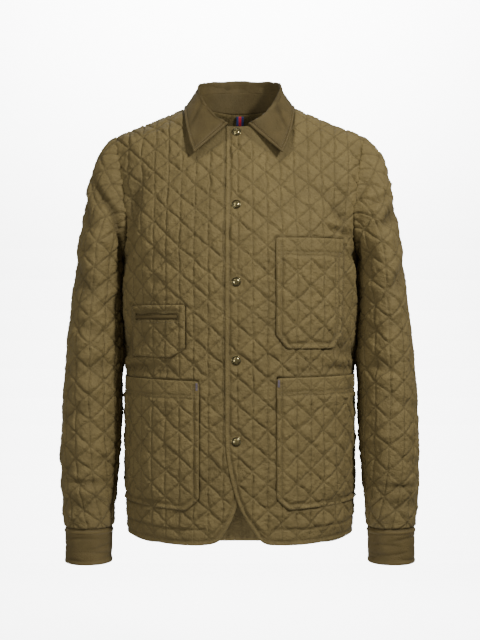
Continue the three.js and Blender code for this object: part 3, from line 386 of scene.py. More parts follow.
class Form:
    """A surface kept as a table of points at even steps of s and t."""

    def __init__(self, table, low_s, low_t, step_s, step_t, ring=None):
        self.table, self.low, self.step, self.ring = table, (low_s, low_t), (step_s, step_t), ring

    def point(self, s, t):
        s, t = np.broadcast_arrays(np.asarray(s, float), np.asarray(t, float))
        if self.ring is not None:
            s = (s / np.interp(t, *self.ring)) % 1.0
        cell, part = [], []
        for value, low, step, count in zip((s, t), self.low, self.step, self.table.shape):
            at = (value - low) / step
            cell.append(np.clip(np.floor(at).astype(int), 0, count - 2))
            part.append((at - cell[-1])[..., None])
        i, j = cell
        return bilinear(lambda a, b: self.table[i + a, j + b], *part)

    def outward(self, s, t, step=3.0):
        across = self.point(s + step, t) - self.point(s - step, t)
        up = self.point(s, t + step) - self.point(s, t - step)
        return unit(np.cross(across, up))

    def raised(self, s, t, height):
        return self.point(s, t) + self.outward(s, t) * np.asarray(height)[..., None]


TABLE_STEP = 2.0
BODY_SPAN = 314
BODY_LOW, BODY_HIGH = -800, 130


def body_section(side, z):
    """Half-width, depth and squareness of the body at a level."""
    return (level_value(BODY_LEVELS, k, z) for k in (1, 2 if side == "front" else 3, 4))


def quarter_section(side, z):
    half, depth, power = body_section(side, z)
    angle = np.linspace(0, math.pi / 2, 241)
    points = np.stack([half * np.sin(angle) ** (2 / power), depth * np.cos(angle) ** (2 / power)], -1)
    return points, lengths_of(points)


def side_seam(side, z):
    return float(quarter_section(side, z)[1][-1])


def body_form(side):
    """The body's front or back, and the level of the shoulder seam along s."""
    s = np.arange(0, BODY_SPAN + 1, TABLE_STEP)
    below = []
    for z in np.arange(-770, ARMPIT + 1, 5.0):
        points, lengths = quarter_section(side, z)
        flat = read_line(points, lengths, np.minimum(s, lengths[-1]))
        below.append(np.column_stack([flat, np.full(len(s), z)]))
    below = np.array(below)
    levels = np.linspace(-75, 13, 400)
    crest = np.interp(UPRIGHT * s, level_value(BODY_LEVELS, 1, levels)[::-1], levels[::-1])
    z = ARMPIT + (crest - ARMPIT) * np.sin(np.arange(1, 81) / 80 * math.pi / 2)[:, None]
    x = mix(below[-1][:, 0], UPRIGHT * s, smooth((z - ARMPIT) / YOKE_RISE))
    half, depth, power = body_section(side, z)
    y = depth * (1 - np.clip(np.abs(x) / half, 0, 1) ** power) ** (1 / power)
    points = np.vstack([below, np.stack([x, y, z], -1)])
    lengths = lengths_of(points)
    zero = lengths[len(below) - 1] - ARMPIT
    t = np.arange(BODY_LOW, BODY_HIGH + 1, TABLE_STEP)
    table = np.array([read_line(points[:, i], lengths[:, i] - zero[i], t) for i in range(len(s))])
    table = np.concatenate([table[:0:-1] * (-1, 1, 1), table])
    table *= (1, -1, 1) if side == "front" else (-1, 1, 1)
    form = Form(table, -s[-1], BODY_LOW, TABLE_STEP, TABLE_STEP)
    return form, (s, lengths[-1] - zero)


BODY, SHOULDER = {}, {}
for body_side in ("front", "back"):
    BODY[body_side], SHOULDER[body_side] = body_form(body_side)


def shoulder_level(side, s):
    return np.interp(np.abs(s), *SHOULDER[side])


NECK_BACK = float(shoulder_level("back", 0)) - 22
NECK_EDGE, SHOULDER_EDGE = NECK_HALF / UPRIGHT, SHOULDER_HALF / UPRIGHT


def neck_curve(side, centre):
    angle = np.linspace(0, math.pi / 2, 29)
    high = float(shoulder_level(side, NECK_EDGE))
    return np.stack([NECK_EDGE * np.sin(angle), mix(high, centre, np.cos(angle))], -1)


def armhole_curve(side):
    start = (SHOULDER_EDGE, float(shoulder_level(side, SHOULDER_EDGE)))
    return curve_through([start, *ARMHOLES[side], (side_seam(side, ARMPIT), ARMPIT)], 5)


def half_lines(side, neck, hem_from):
    """The edges of half a body piece on the wearer's left, clockwise from the neck."""
    s = np.linspace(NECK_EDGE, SHOULDER_EDGE, 24)
    down = np.array([(side_seam(side, z), z) for z in np.linspace(ARMPIT, HEM_SIDE, 40)])
    return {"neck": neck, "shoulder": np.stack([s, shoulder_level(side, s)], -1),
            "armhole": armhole_curve(side), "side": down, "hem": hem_from(down[-1])}


def front_lines(edge, corner):
    start = [(edge, NECK_FRONT)]
    return half_lines("front", np.vstack([start, neck_curve("front", NECK_FRONT)]),
                      lambda low: np.vstack([curve_through([low, *FRONT_HEM, *corner], 5), start]))


def back_lines():
    return half_lines("back", neck_curve("back", NECK_BACK), lambda low: curve_through(
        [(low[0] * across, mix(HEM_SIDE, HEM_BACK, down)) for across, down in BACK_DROP], 6))


def whole_outline(lines):
    """One closed line, anticlockwise, from edges that follow each other clockwise."""
    points = np.vstack(list(lines))
    steps = np.linalg.norm(points - np.roll(points, 1, axis=0), axis=1)
    return points[steps > 0.3][::-1]


def sleeve_ring(z, angle):
    """Points round the right sleeve at a level."""
    x, y, across, deep = (level_value(SLEEVE_LEVELS, k, z) for k in (1, 2, 3, 4))
    return np.stack(np.broadcast_arrays(x - across * np.cos(angle), y - deep * np.sin(angle), z), -1)


def sleeve_form():
    """The right sleeve's form and the length of each line of its cap."""
    count = 192
    u = np.arange(count + 1) / count
    centre_z = np.linspace(BICEPS, BICEPS - 480, 240)
    centre = np.stack([level_value(SLEEVE_LEVELS, 1, centre_z), level_value(SLEEVE_LEVELS, 2, centre_z),
                       centre_z], -1)
    down = lengths_of(centre)
    angle = np.linspace(0, 2 * math.pi, 289)

    def ring(z):
        points = sleeve_ring(z, angle)
        lengths = lengths_of(points)
        return read_line(points, lengths, u * lengths[-1]), lengths[-1]

    low = -430.0
    t_below = np.arange(low, 0.5, TABLE_STEP)
    rings = [ring(float(np.interp(-t, down, centre_z))) for t in t_below]
    below = np.array([points for points, _ in rings])
    girth = np.array([size for _, size in rings])
    start = below[-1]

    lines = {}
    for side, sign in (("front", -1), ("back", 1)):
        flat = armhole_curve(side)
        points = BODY[side].point(sign * flat[:, 0], flat[:, 1])
        lines[side] = (points, lengths_of(points))
    end = np.empty_like(start)
    for k, share in enumerate(u % 1):
        points, lengths = lines["front" if share < 0.5 else "back"]
        end[k] = read_line(points, lengths, 2 * min(share, 1 - share) * lengths[-1])
    reach = np.linalg.norm(end - start, axis=1)[:, None]
    height = np.clip((end[:, 2:] - ARMPIT) / 190, 0, 1)
    facing = np.sin(u * 2 * math.pi)[:, None]
    leaving = unit(np.concatenate([-np.ones_like(height), -0.3 * facing, -0.45 * height], 1))
    end = end + leaving * mix(ARMHOLE_GAP, 0.2, height)
    rise = unit(np.concatenate([0.12 * height, np.zeros_like(height), np.ones_like(height)], 1))
    second = start + rise * 0.55 * reach
    third = end + leaving * np.maximum(6, 0.2 * reach)
    w = np.linspace(0, 1, 49)[:, None, None]
    cap = ((1 - w) ** 3 * start + 3 * w * (1 - w) ** 2 * second + 3 * w * w * (1 - w) * third
           + w ** 3 * end)
    lengths = lengths_of(cap)
    t_above = np.arange(TABLE_STEP, 281, TABLE_STEP)
    above = np.array([read_line(cap[:, k], lengths[:, k], t_above) for k in range(count + 1)])
    table = np.concatenate([below, above.transpose(1, 0, 2)]).transpose(1, 0, 2)
    form = Form(table, 0.0, low, 1 / count, TABLE_STEP, ring=(t_below, girth))
    sleeve_length = float(np.interp(-SLEEVE_END, -centre_z, down))
    return form, (u, lengths[-1]), sleeve_length


SLEEVE, CAP_TOP, SLEEVE_LENGTH = sleeve_form()
SLEEVE_GIRTH = float(np.interp(0, *SLEEVE.ring))


def sleeve_lines():
    u = np.linspace(SLEEVE_SEAM - 1, SLEEVE_SEAM, 120)
    cap = np.stack([u * SLEEVE_GIRTH, np.interp(u % 1, *CAP_TOP)], -1)
    t = np.linspace(0, -SLEEVE_LENGTH, 60)
    girth = np.interp(t, *SLEEVE.ring)
    right, left = (np.stack([share * girth, t], -1) for share in (SLEEVE_SEAM, SLEEVE_SEAM - 1))
    return {"cap": cap, "seam": right, "wrist": np.array([right[-1], left[-1]]), "other": left[::-1]}


# Quilting ---------------------------------------------------------------------------------------

def quilt_lines(s, t):
    """Distances to the nearest upright, rising and falling quilting line, and each cell's number."""
    upright = (s - FIRST_COLUMN) / COLUMN
    rising = (t - FIRST_ROW - SLANT * (s - FIRST_COLUMN)) / CELL
    falling = (t - FIRST_ROW + SLANT * (s - FIRST_COLUMN)) / CELL
    away = lambda q: np.abs(q - np.round(q))
    distances = (away(upright) * COLUMN, away(rising) * CELL * ACROSS_SLANT,
                 away(falling) * CELL * ACROSS_SLANT)
    cell = (np.floor(upright) * 7349 + np.floor(rising) * 3571 + np.floor(falling) * 1237).astype(int)
    return distances, cell


def quilt_height(s, t, puff, seed):
    """How far quilted cloth stands up at a flat point, and how clear it is of the stitched creases,
    which get painted shade.
    """
    distances, cell = quilt_lines(s, t)
    share, crease = np.ones(np.shape(s)), np.zeros(np.shape(s))
    for distance, weight in zip(distances, (0.72, 0.86, 1.0)):
        dip = 0.76 * np.exp(-(distance / 1.35) ** 2) + 0.24 * np.exp(-distance / 3.4)
        share = share * (1 - weight * dip)
        # A mask of the stitched creases for painted shade
        crease = np.maximum(crease, weight * np.exp(-(distance / 0.9) ** 2))
    chance = np.random.default_rng(seed).uniform(0.7, 1.22, 4096)
    height = puff * share * chance[cell % 4096]
    # Short puckers cross the stitching
    for k, (distance, (along_s, along_t)) in enumerate(zip(distances, QUILT_DIRECTIONS)):
        along = s * along_s + t * along_t
        across = s * along_t - t * along_s
        near = np.exp(-(distance / 5.0) ** 2) * smooth(distance / 1.3)
        height = height + 1.25 * near * noise(along / 2.7, across / 8.0, seed + 10 + k)
    for k, (size, rise) in enumerate(((14, 0.8), (7, 0.75), (3.4, 0.42))):
        height = height + rise * noise(s / size, t / size, seed + 19 + k)
    return height, 1 - crease


# Meshes -----------------------------------------------------------------------------------------

def linked(name, data):
    obj = bpy.data.objects.new(name, data)
    bpy.context.scene.collection.objects.link(obj)
    return obj


def make_object(name, points, faces, material, uv=None, shade=None):
    """A mesh object at the origin from millimetre points; uv and shade, a factor for painted shade, are
    per point.
    """
    points = np.asarray(points, float) * MM
    faces = [np.asarray(f, np.int32) for f in faces if len(f)]
    corners = np.concatenate([f.ravel() for f in faces])
    totals = np.concatenate([np.full(len(f), f.shape[1], np.int32) for f in faces])
    mesh = bpy.data.meshes.new(name)
    mesh.vertices.add(len(points))
    mesh.vertices.foreach_set("co", points.astype(np.float32).ravel())
    mesh.loops.add(len(corners))
    mesh.loops.foreach_set("vertex_index", corners)
    mesh.polygons.add(len(totals))
    starts = np.concatenate([[0], np.cumsum(totals)[:-1]]).astype(np.int32)
    mesh.polygons.foreach_set("loop_start", starts)
    mesh.polygons.foreach_set("loop_total", totals)
    mesh.polygons.foreach_set("use_smooth", np.ones(len(totals), bool))
    mesh.update()
    mesh.validate()
    if uv is not None:
        layer = mesh.uv_layers.new(name="Cloth")
        layer.data.foreach_set("uv", np.asarray(uv, np.float32)[corners].ravel())
    layer = mesh.attributes.new("shade", "FLOAT", "POINT")
    values = np.ones(len(points)) if shade is None else shade
    layer.data.foreach_set("value", np.asarray(values, np.float32))
    mesh.materials.append(material)
    return linked(name, mesh)


def cloth_uv(s, t):
    return np.stack([UV_START[0] + s * MM, UV_START[1] + t * MM], -1)


def strip(loop_a, loop_b):
    """Quads that join two loops of the same count; loop_b is the deeper one."""
    return np.stack([np.roll(loop_a, -1), loop_a, loop_b, np.roll(loop_b, -1)], -1)


def lattice(outline, fine, margin, holes):
    """Points that divide each quilted cell evenly, at a margin inside a cut."""
    first, step = np.array([FIRST_COLUMN, FIRST_ROW]), np.array([COLUMN, CELL]) / fine
    low = np.floor((outline.min(0) - first) / step).astype(int) - 1
    high = np.ceil((outline.max(0) - first) / step).astype(int) + 2
    s, t = np.meshgrid(np.arange(low[0], high[0]), np.arange(low[1], high[1]), indexing="ij")
    points = np.stack([FIRST_COLUMN + s * step[0], FIRST_ROW + (t + 0.5 * (s % 2)) * step[1]], -1)
    points = points.reshape(-1, 2)
    points = points[is_inside(outline, *points.T)]
    points = points[line_distance(evenly(outline, 4, True), *points.T, closed=True) > margin]
    for hole in holes:
        gap = line_distance(hole, *points.T, closed=True)
        points = points[~is_inside(hole, *points.T) & (gap > margin)]
    return points


def triangulated(loops, inner):
    """Triangles over a closed outline with holes; loops[0] is the outline."""
    points, rings = [], []
    for loop in loops:
        rings.append(list(range(len(points), len(points) + len(loop))))
        points.extend(loop)
    count = len(points)
    points.extend(inner)
    borders = [(a, b) for ring in rings for a, b in zip(ring, ring[1:] + ring[:1])]
    found = delaunay_2d_cdt([Vector(p) for p in points], borders, [], 0, 1e-6, True)
    origin = np.array([ids[0] if ids else -1 for ids in found[3]])
    faces = origin[np.array(found[2])]
    if (faces < 0).any():
        raise RuntimeError("the outline crosses itself")
    # Triangles with a point inside are kept, and those that can be reached from them
    # without crossing the outline
    kept = (faces >= count).any(1)
    by_outline = (faces < count).sum(1) >= 2
    fixed = {frozenset(pair) for pair in borders}
    sides = lambda face: [frozenset(pair) for pair in zip(face, face[1:] + face[:1])]
    open_sides = {}
    for i in np.flatnonzero(by_outline):
        for side in sides(faces[i].tolist()):
            if side not in fixed:
                open_sides.setdefault(side, []).append(i)
    queue = list(np.flatnonzero(kept & by_outline))
    while queue:
        for side in sides(faces[queue.pop()].tolist()):
            for j in open_sides.get(side, ()):
                if not kept[j]:
                    kept[j] = True
                    queue.append(j)
    return np.array(points), faces[kept], rings, count


def quilted_cloth(name, outline, place, material, holes=(), fine=16, coarse=4, edge_step=1.9,
                  flip=False):
    """Cut and quilted cloth: place(s, t, top) gives points for its outer or inner face."""
    loops = [evenly(outline, edge_step, True)]
    loops += [evenly(clockwise(hole), edge_step, True) for hole in holes]
    inner, back = lattice(outline, fine, TOP_MARGIN, holes), lattice(outline, coarse, LOW_MARGIN, holes)
    top_flat, top_faces, rings, count = triangulated(loops, inner)
    low_flat, low_faces = triangulated(loops, back)[:2]
    top, shade = place(*top_flat.T, True)
    low, low_shade = place(*low_flat.T, False)
    # The edge turns round between the two faces
    edge = np.concatenate([np.roll(loop, -1, axis=0) - np.roll(loop, 1, axis=0) for loop in loops])
    ahead = unit(edge)
    edge_flat = top_flat[:count] + np.stack([ahead[:, 1], -ahead[:, 0]], -1) * 0.35 * WALL
    middle = (place(*edge_flat.T, True)[0] + place(*edge_flat.T, False)[0]) / 2
    points = np.vstack([top, middle, low])
    to_middle, to_low = len(top), len(top) + count
    faces = [top_faces, low_faces[:, ::-1] + to_low]
    for ring in map(np.array, rings):
        faces += [strip(ring, ring + to_middle), strip(ring + to_middle, ring + to_low)]
    if flip:
        points = points * (-1, 1, 1)
        faces = [f[:, ::-1] for f in faces]
    flat = np.vstack([top_flat, top_flat[:count], low_flat])
    # The inner face gets a little painted shade
    shade = np.concatenate([shade, shade[:count], 0.9 * low_shade])
    return make_object(name, points, faces, material, cloth_uv(*flat.T), shade)


def normals(grid):
    return unit(np.cross(np.gradient(grid, axis=0), np.gradient(grid, axis=1)))


def sheet_grid(name, grid, thickness, material, uv, shade=None, closed=False):
    """A sheet of even thickness over a grid of points; its second axis runs across the sheet."""
    after = lambda rows: np.roll(rows, -1, axis=0)
    ahead = after(grid) - np.roll(grid, 1, axis=0) if closed else np.gradient(grid, axis=0)
    out = unit(np.cross(ahead, np.gradient(grid, axis=1))).reshape(-1, 3)
    index = np.arange(len(out)).reshape(grid.shape[:2])
    now, then = (index, after(index)) if closed else (index[:-1], index[1:])
    quads = np.stack([now[:, :-1], then[:, :-1], then[:, 1:], now[:, 1:]], -1).reshape(-1, 4)
    faces = [quads, quads[:, ::-1] + len(out)]
    if closed:
        loops = [index[:, 0], index[:, -1][::-1]]
    else:
        loops = [np.concatenate([index[:, 0], index[-1, 1:], index[-2::-1, -1], index[0, -2:0:-1]])]
    grid, half = grid.reshape(-1, 3), thickness / 2
    points = [grid + out * half, grid - out * half]
    start = 2 * len(out)
    for loop in loops:
        middle = np.arange(start, start + len(loop))
        start += len(loop)
        edge = grid[loop]
        outside = unit(np.cross(unit(after(edge) - np.roll(edge, 1, axis=0)), out[loop]))
        points.append(edge + outside * half * 0.8)
        faces += [strip(loop, middle), strip(middle, loop + len(out))]
    everywhere = lambda values: np.concatenate([values, values, *(values[loop] for loop in loops)])
    return make_object(name, np.vstack(points), faces, material, everywhere(uv.reshape(-1, 2)),
                       None if shade is None else everywhere(shade.reshape(-1)))


# Cloth placed on its forms ----------------------------------------------------------------------

def groove(lines, s, t, width=1.5, depth=0.55):
    """The channel that topstitching pulls into the cloth."""
    dip = np.zeros(np.shape(s))
    for line in lines:
        dip = np.maximum(dip, np.exp(-(line_distance(evenly(line, 6), s, t) / width) ** 2))
    return -depth * dip


def panel_place(form, folds, small, seams, free, puff, seed, covered=(), stitched=(), layer=0.0,
                flat_edge=5.5, calm=lambda s, t: 1, lift=lambda s, t: 0, seam_dip=lambda s, t: 0.8):
    """place(s, t, top) for a quilted panel, with what its edges and coverings do to it; it also gives
    each point's painted shade.
    """
    seam_lines, free_lines = ([evenly(line, 6) for line in lines] for lines in (seams, free))

    def nearest(lines, s, t):
        return np.min([np.full(np.shape(s), FAR), *(line_distance(line, s, t) for line in lines)], 0)

    def place(s, t, top):
        to_seam, to_free = nearest(seam_lines, s, t), nearest(free_lines, s, t)
        edge = np.minimum(to_seam, to_free)
        folded = fold_height(folds, s, t) * smooth(edge / 30)
        folded = folded + fold_height(small, s, t) * smooth(edge / 14) + lift(s, t)
        dip = seam_dip(s, t)
        base = folded + layer - dip * np.exp(-(to_seam / 2.0) ** 2)
        wander = WARP * smooth(edge / 12)
        drift = lambda k: noise(s / 15, t / 15, seed + k) + 0.5 * noise(s / 6, t / 6, seed + k + 1)
        moved = form.point(s + wander * drift(1), t + wander * drift(3))
        height, clear = quilt_height(s, t, puff, seed)
        sewn = np.clip(dip / 2, 0, 1)
        keep = smooth(to_seam / mix(2.0, 4.0, sewn) + mix(1.0, 0.15, smooth(2 * sewn)))
        keep = keep * smooth((to_free - flat_edge) / 4)
        # Next to each covering piece the cloth gets a painted contact shadow
        contact_shadow = np.zeros(np.shape(s))
        for cut in covered:
            gap = np.where(is_inside(cut, s, t), 0, line_distance(cut, s, t, closed=True))
            keep = keep * smooth(gap / 3)
            contact_shadow = np.maximum(contact_shadow, np.exp(-(gap / 4.5) ** 2))
        keep = keep * calm(s, t) * (1 + groove(stitched, s, t, 3.2, 0.85))
        clear = 1 - (1 - clear) * np.clip(keep + 0.1, 0.3, 1)
        row_dip = groove(stitched, s, t)
        if top:
            rise = base + WALL / 2 + height * keep + 1.8 * row_dip
        else:
            rise = base - WALL / 2 - 0.35 * np.maximum(0, height) * keep
        # Painted shade: darker in the stitched creases, at seams and stitched rows, in the painted
        # contact shadow and in hollow folds
        shade = mix(0.78, 1.0, clear) * mix(1 - 0.13 * dip, 1.0, smooth(to_seam / 3))
        shade = shade * (1 + 0.2 * row_dip / 0.55) * (1 - 0.32 * contact_shadow)
        shade = shade * (1 - 0.42 * np.clip(-folded / 8, 0, 1))
        return moved + form.outward(s, t) * rise[..., None], shade

    return place


def lap_lift(s):
    """The left front lies over the right one by the snaps."""
    return LAP_LIFT * (1 - smooth((s - RIGHT_EDGE - 3) / 30))


def body_ease(side, s, t):
    """The body's side fills out towards the sleeve, a little behind the side seam."""
    seam = np.interp(t, *SIDE_LINE[side])
    behind = (seam - np.abs(s)) * (1 if side == "back" else -1) - 10
    return np.interp(t, *BODY_EASE) * np.exp(-(behind / 30) ** 2)


def sleeve_ease(s, t):
    """The sleeve's inner side fills out towards the body."""
    turn = np.cos(2 * math.pi * (s / np.interp(t, *SLEEVE.ring) - 0.46))
    return np.interp(t + BICEPS, *SLEEVE_EASE) * np.clip(turn, 0, 1) ** 3


def seam_depth(deep, level):
    """Seams lie deeper under the arm than over the shoulder."""
    return lambda s, t: mix(deep, 0.05, smooth((t - level) / 60))


BODY_SEAM_DIP, SLEEVE_SEAM_DIP = seam_depth(2.2, -215), seam_depth(2.0, 50)


def row(line, distance, step=4):
    """A line sewn inside an edge that runs with the cloth on its right."""
    return offset_line(evenly(line, step), -distance)


LEFT_LINES = front_lines(LEFT_EDGE, FRONT_CORNER)
RIGHT_LINES = {name: mirrored(line) for name, line in front_lines(-RIGHT_EDGE, UNDER_CORNER).items()}
BACK_LINES = back_lines()
SLEEVE_LINES = sleeve_lines()

LEFT_CUT = whole_outline(LEFT_LINES.values())
RIGHT_CUT = whole_outline(list(RIGHT_LINES.values())[::-1])
BACK_HALF = np.vstack(list(BACK_LINES.values()))
BACK_CUT = whole_outline([BACK_HALF, mirrored(BACK_HALF)])
SLEEVE_CUT = whole_outline(SLEEVE_LINES.values())

SIDE_LEVELS = np.arange(-760.0, ARMPIT + 1, 10)
SIDE_LINE = {side: (SIDE_LEVELS, np.array([side_seam(side, z) for z in SIDE_LEVELS]))
             for side in ("front", "back")}
# How far the sleeve and the body fill out towards each other
BODY_EASE = ((-440, -415, -370, -310, -278, -264, -250), (0, 5, 6.5, 7, 8, 6, 0))
SLEEVE_EASE = ((-690, -640, -560, -455, -420, -370, -310, -278, -262, -248),
               (0, 2.5, 4.5, 4.5, 10, 9, 8.5, 9.5, 6, 0))

before_seam = lambda z: side_seam("front", z) - 4
HIP_POCKET_LEFT = (
    (57, -445), (57, -633), (76, -650), (before_seam(-640), -641), (before_seam(-450), -441),
)
HIP_POCKET_RIGHT = (
    (-64, -450), (-before_seam(-450), -443), (-before_seam(-640), -641), (-84, -651), (-64, -633),
)
POCKETS_LEFT = (CHEST_POCKET, HIP_POCKET_LEFT)
POCKETS_RIGHT = (HIP_POCKET_RIGHT, WELT_POCKET)


# Materials --------------------------------------------------------------------------------------

class Value:
    """A socket whose sums add Math nodes."""

    def __init__(self, tree, socket):
        self.tree, self.socket = tree, socket

    def math(self, operation, *others):
        values = dict(enumerate((self, *others)))
        return self.tree.node("ShaderNodeMath", {"operation": operation}, values).out()

    def __add__(self, other): return self.math("ADD", other)
    __radd__ = __add__
    def __mul__(self, other): return self.math("MULTIPLY", other)
    __rmul__ = __mul__
    def __sub__(self, other): return self.math("SUBTRACT", other)
    def __rsub__(self, other): return self.math("MULTIPLY", -1).math("ADD", other)
    def __truediv__(self, other): return self.math("DIVIDE", other)
    def __abs__(self): return self.math("ABSOLUTE")
    def sin(self): return self.math("SINE")
    def fraction(self): return self.math("FRACT")
    def highest(self, other): return self.math("MAXIMUM", other)

    def above(self, low, high):
        """0 below low, 1 above high, smooth between."""
        return self.tree.node("ShaderNodeMapRange", {"interpolation_type": "SMOOTHSTEP"},
                              {"Value": self, "From Min": low, "From Max": high}).out("Result")

    def away(self):
        """Distance to the nearest whole number."""
        return abs((self + 0.5).fraction() - 0.5)


class Made:
    """A node just made, for reading its outputs."""

    def __init__(self, tree, node):
        self.tree, self.made = tree, node

    def out(self, name=0):
        return Value(self.tree, self.made.outputs[name])


class Tree:
    """A node tree, and the one way in which its nodes are made."""

    def __init__(self, tree):
        self.tree = tree

    def node(self, kind, settings=None, values=None):
        made = self.tree.nodes.new(kind)
        for name, value in (settings or {}).items():
            setattr(made, name, value)
        for name, value in (values or {}).items():
            self.put(made.inputs[name], value)
        return Made(self, made)

    def put(self, socket, value):
        if isinstance(value, Value):
            self.tree.links.new(value.socket, socket)
        elif hasattr(socket.default_value, "__len__") and len(socket.default_value) == 4:
            socket.default_value = (*value[:3], 1)
        else:
            socket.default_value = value


class Shader(Tree):
    """A procedural material."""

    def __init__(self, name, colour, roughness, **fixed):
        self.material = bpy.data.materials.new(name)
        self.material.use_nodes = True
        self.material.diffuse_color = (*colour, 1)
        super().__init__(self.material.node_tree)
        self.surface = next(n for n in self.tree.nodes if n.type == "BSDF_PRINCIPLED")
        self.set("Base Color", colour)
        self.set("Roughness", roughness)
        for name, value in fixed.items():
            self.set(name.replace("_", " "), value)

    def set(self, name, value):
        self.put(self.surface.inputs[name], value)

    def colour_mix(self, factor, a, b):
        return self.node("ShaderNodeMix", {"data_type": "RGBA"}, {0: factor, 6: a, 7: b}).out(2)

    def noise(self, scale, detail=3.0, roughness=0.55):
        return self.node("ShaderNodeTexNoise", {}, {
            "Vector": self.node("ShaderNodeTexCoord").out("Object"),
            "Scale": scale, "Detail": detail, "Roughness": roughness}).out("Fac")

    def flat(self):
        """The cloth's own s and t in millimetres."""
        uv = self.node("ShaderNodeUVMap", {"uv_map": "Cloth"}).out("UV")
        parts = self.node("ShaderNodeSeparateXYZ", {}, {0: uv})
        return tuple((parts.out(axis) - start) * (1 / MM) for axis, start in zip("XY", UV_START))

    def ribs(self, along, spacing):
        return (along * (2 * math.pi / spacing)).sin()

    def creased(self, base, deep, share=1.0):
        """Painted shade: the colour goes over to a deeper one where the mesh's shade is low."""
        shade = self.node("ShaderNodeAttribute", {"attribute_name": "shade"}).out("Fac")
        return self.colour_mix((1 - shade) * share, base, deep)

    def finish(self, base, height, distance, strength=1.0):
        made = self.node("ShaderNodeBump", {}, {
            "Height": height, "Distance": distance, "Strength": strength})
        self.set("Normal", made.out("Normal"))
        self.set("Base Color", base)
        return self.material


def linear(colour):
    """Linear values of an sRGB colour from 0 to 255."""
    one = lambda c: c / 12.92 if c <= 0.04045 else ((c + 0.055) / 1.055) ** 2.4
    return tuple(one(c / 255) for c in colour)


def times(colour, share):
    return tuple(min(1, c * share) for c in colour)


def cloth_material(name, colour, deep, quilted, weave, seed):
    """Dull woven cotton, with painted shade where the mesh's shade is low; quilted cloth has its
    stitching along the quilting lines.
    """
    shader = Shader(name, colour, 0.62, Sheen_Weight=0.05, Sheen_Roughness=0.4,
                    Specular_IOR_Level=0.15, Sheen_Tint=(0.9, 0.85, 0.68))
    s, t = shader.flat()
    mottle, patchy = shader.noise(38 + seed, 4), shader.noise(9 + seed, 2)
    woven = shader.ribs(s, weave) * shader.ribs(t, weave)
    fuzz = shader.noise(900, 2)
    base = shader.colour_mix(mottle.above(0.35, 0.7), times(colour, 0.9), times(colour, 1.1))
    base = shader.colour_mix(patchy.above(0.3, 0.75) * 0.5, base, times(colour, 0.86))
    base = shader.colour_mix(woven.above(-1, 1) * 0.16, base, times(colour, 1.25))
    # Painted shade in creases, seams, hollow folds and beside the pockets and collar, towards the deep
    # colour
    base = shader.creased(base, deep)
    # Sharp little wrinkles
    wrinkle = abs(shader.noise(150 + seed, 3, 0.5) - 0.5).above(0, 0.09)
    height = woven * 0.05 + fuzz * 0.09 + wrinkle * (0.5 if quilted else 0.22)
    if quilted:
        slope = (s - FIRST_COLUMN) * SLANT
        column = ((s - FIRST_COLUMN) / COLUMN).away() * COLUMN
        rising, falling = (((t - FIRST_ROW + way) / CELL).away() * (CELL * ACROSS_SLANT)
                           for way in (slope * -1, slope))
        thread = None
        for distance, along in ((column, t), (rising, s * 1.34), (falling, s * 1.34 + 1.3)):
            row = (1 - distance.above(0.25, 0.5)) * (along / 3.3).away().above(0.12, 0.2)
            thread = row if thread is None else thread.highest(row)
        base = shader.colour_mix(thread * 0.75, base, times(colour, 0.72))
        height = height + thread * 0.35
    shader.set("Roughness", fuzz * 0.14 + 0.56)
    return shader.finish(base, height, 0.0009)


def snap_material(colour, dark):
    shader = Shader("Antique brass", colour, 0.3, Metallic=0.8)
    wear, blotch = shader.noise(1900, 4, 0.6), shader.noise(260, 2)
    base = shader.colour_mix(wear.above(0.42, 0.62), dark, colour)
    base = shader.colour_mix(blotch.above(0.5, 0.8) * 0.4, base, times(colour, 1.5))
    shader.set("Roughness", wear * 0.12 + 0.13)
    # Painted highlight and shade from the mesh's shade, towards a near-black copy of the tarnish
    return shader.finish(shader.creased(base, times(dark, 0.2)), wear, 0.00005, 0.5)


def tape_material(edge, stripe, half_width):
    shader = Shader("Striped tape", stripe, 0.62, Sheen_Weight=0.2)
    s, t = shader.flat()
    ribs, fine = shader.ribs(t, 0.9) * 0.5 + 0.5, shader.ribs(s, 0.45)
    middle = shader.colour_mix(ribs * 0.35, stripe, times(stripe, 0.55))
    border = shader.colour_mix(ribs * 0.35, edge, times(edge, 0.5))
    base = shader.colour_mix((abs(s) / half_width).above(0.36, 0.4), middle, border)
    return shader.finish(base, ribs * 0.3 + fine * 0.08, 0.0005)


def felt_material(colour):
    deep = times(colour, 0.72)
    shader = Shader("Cream felt", colour, 0.85, Sheen_Weight=0.25)
    fibre, blotch = shader.noise(1500, 4, 0.7), shader.noise(130, 3)
    base = shader.colour_mix(fibre.above(0.35, 0.7), deep, colour)
    base = shader.colour_mix(blotch.above(0.4, 0.8) * 0.3, base, times(colour, 0.85))
    # Painted shade where the mesh's shade is low
    return shader.finish(shader.creased(base, times(deep, 0.5), 0.8), fibre, 0.0004)


def thread_material(name, colour):
    shader = Shader(name, colour, 0.55, Sheen_Weight=0.2)
    twist = shader.noise(2600, 2)
    base = shader.colour_mix(twist.above(0.3, 0.7), times(colour, 0.7), colour)
    return shader.finish(base, twist, 0.00012)


# Settings ---------------------------------------------------------------------------------------

def colour_setting(name, description, rgb):
    return bpy.props.FloatVectorProperty(name=name, description=description, subtype="COLOR", size=3,
                                         min=0, max=1, default=linear(rgb))


def size_setting(name, description, millimetres, lowest=0):
    return bpy.props.FloatProperty(name=name, description=description, subtype="DISTANCE",
                                   unit="LENGTH", min=lowest * MM, default=millimetres * MM)


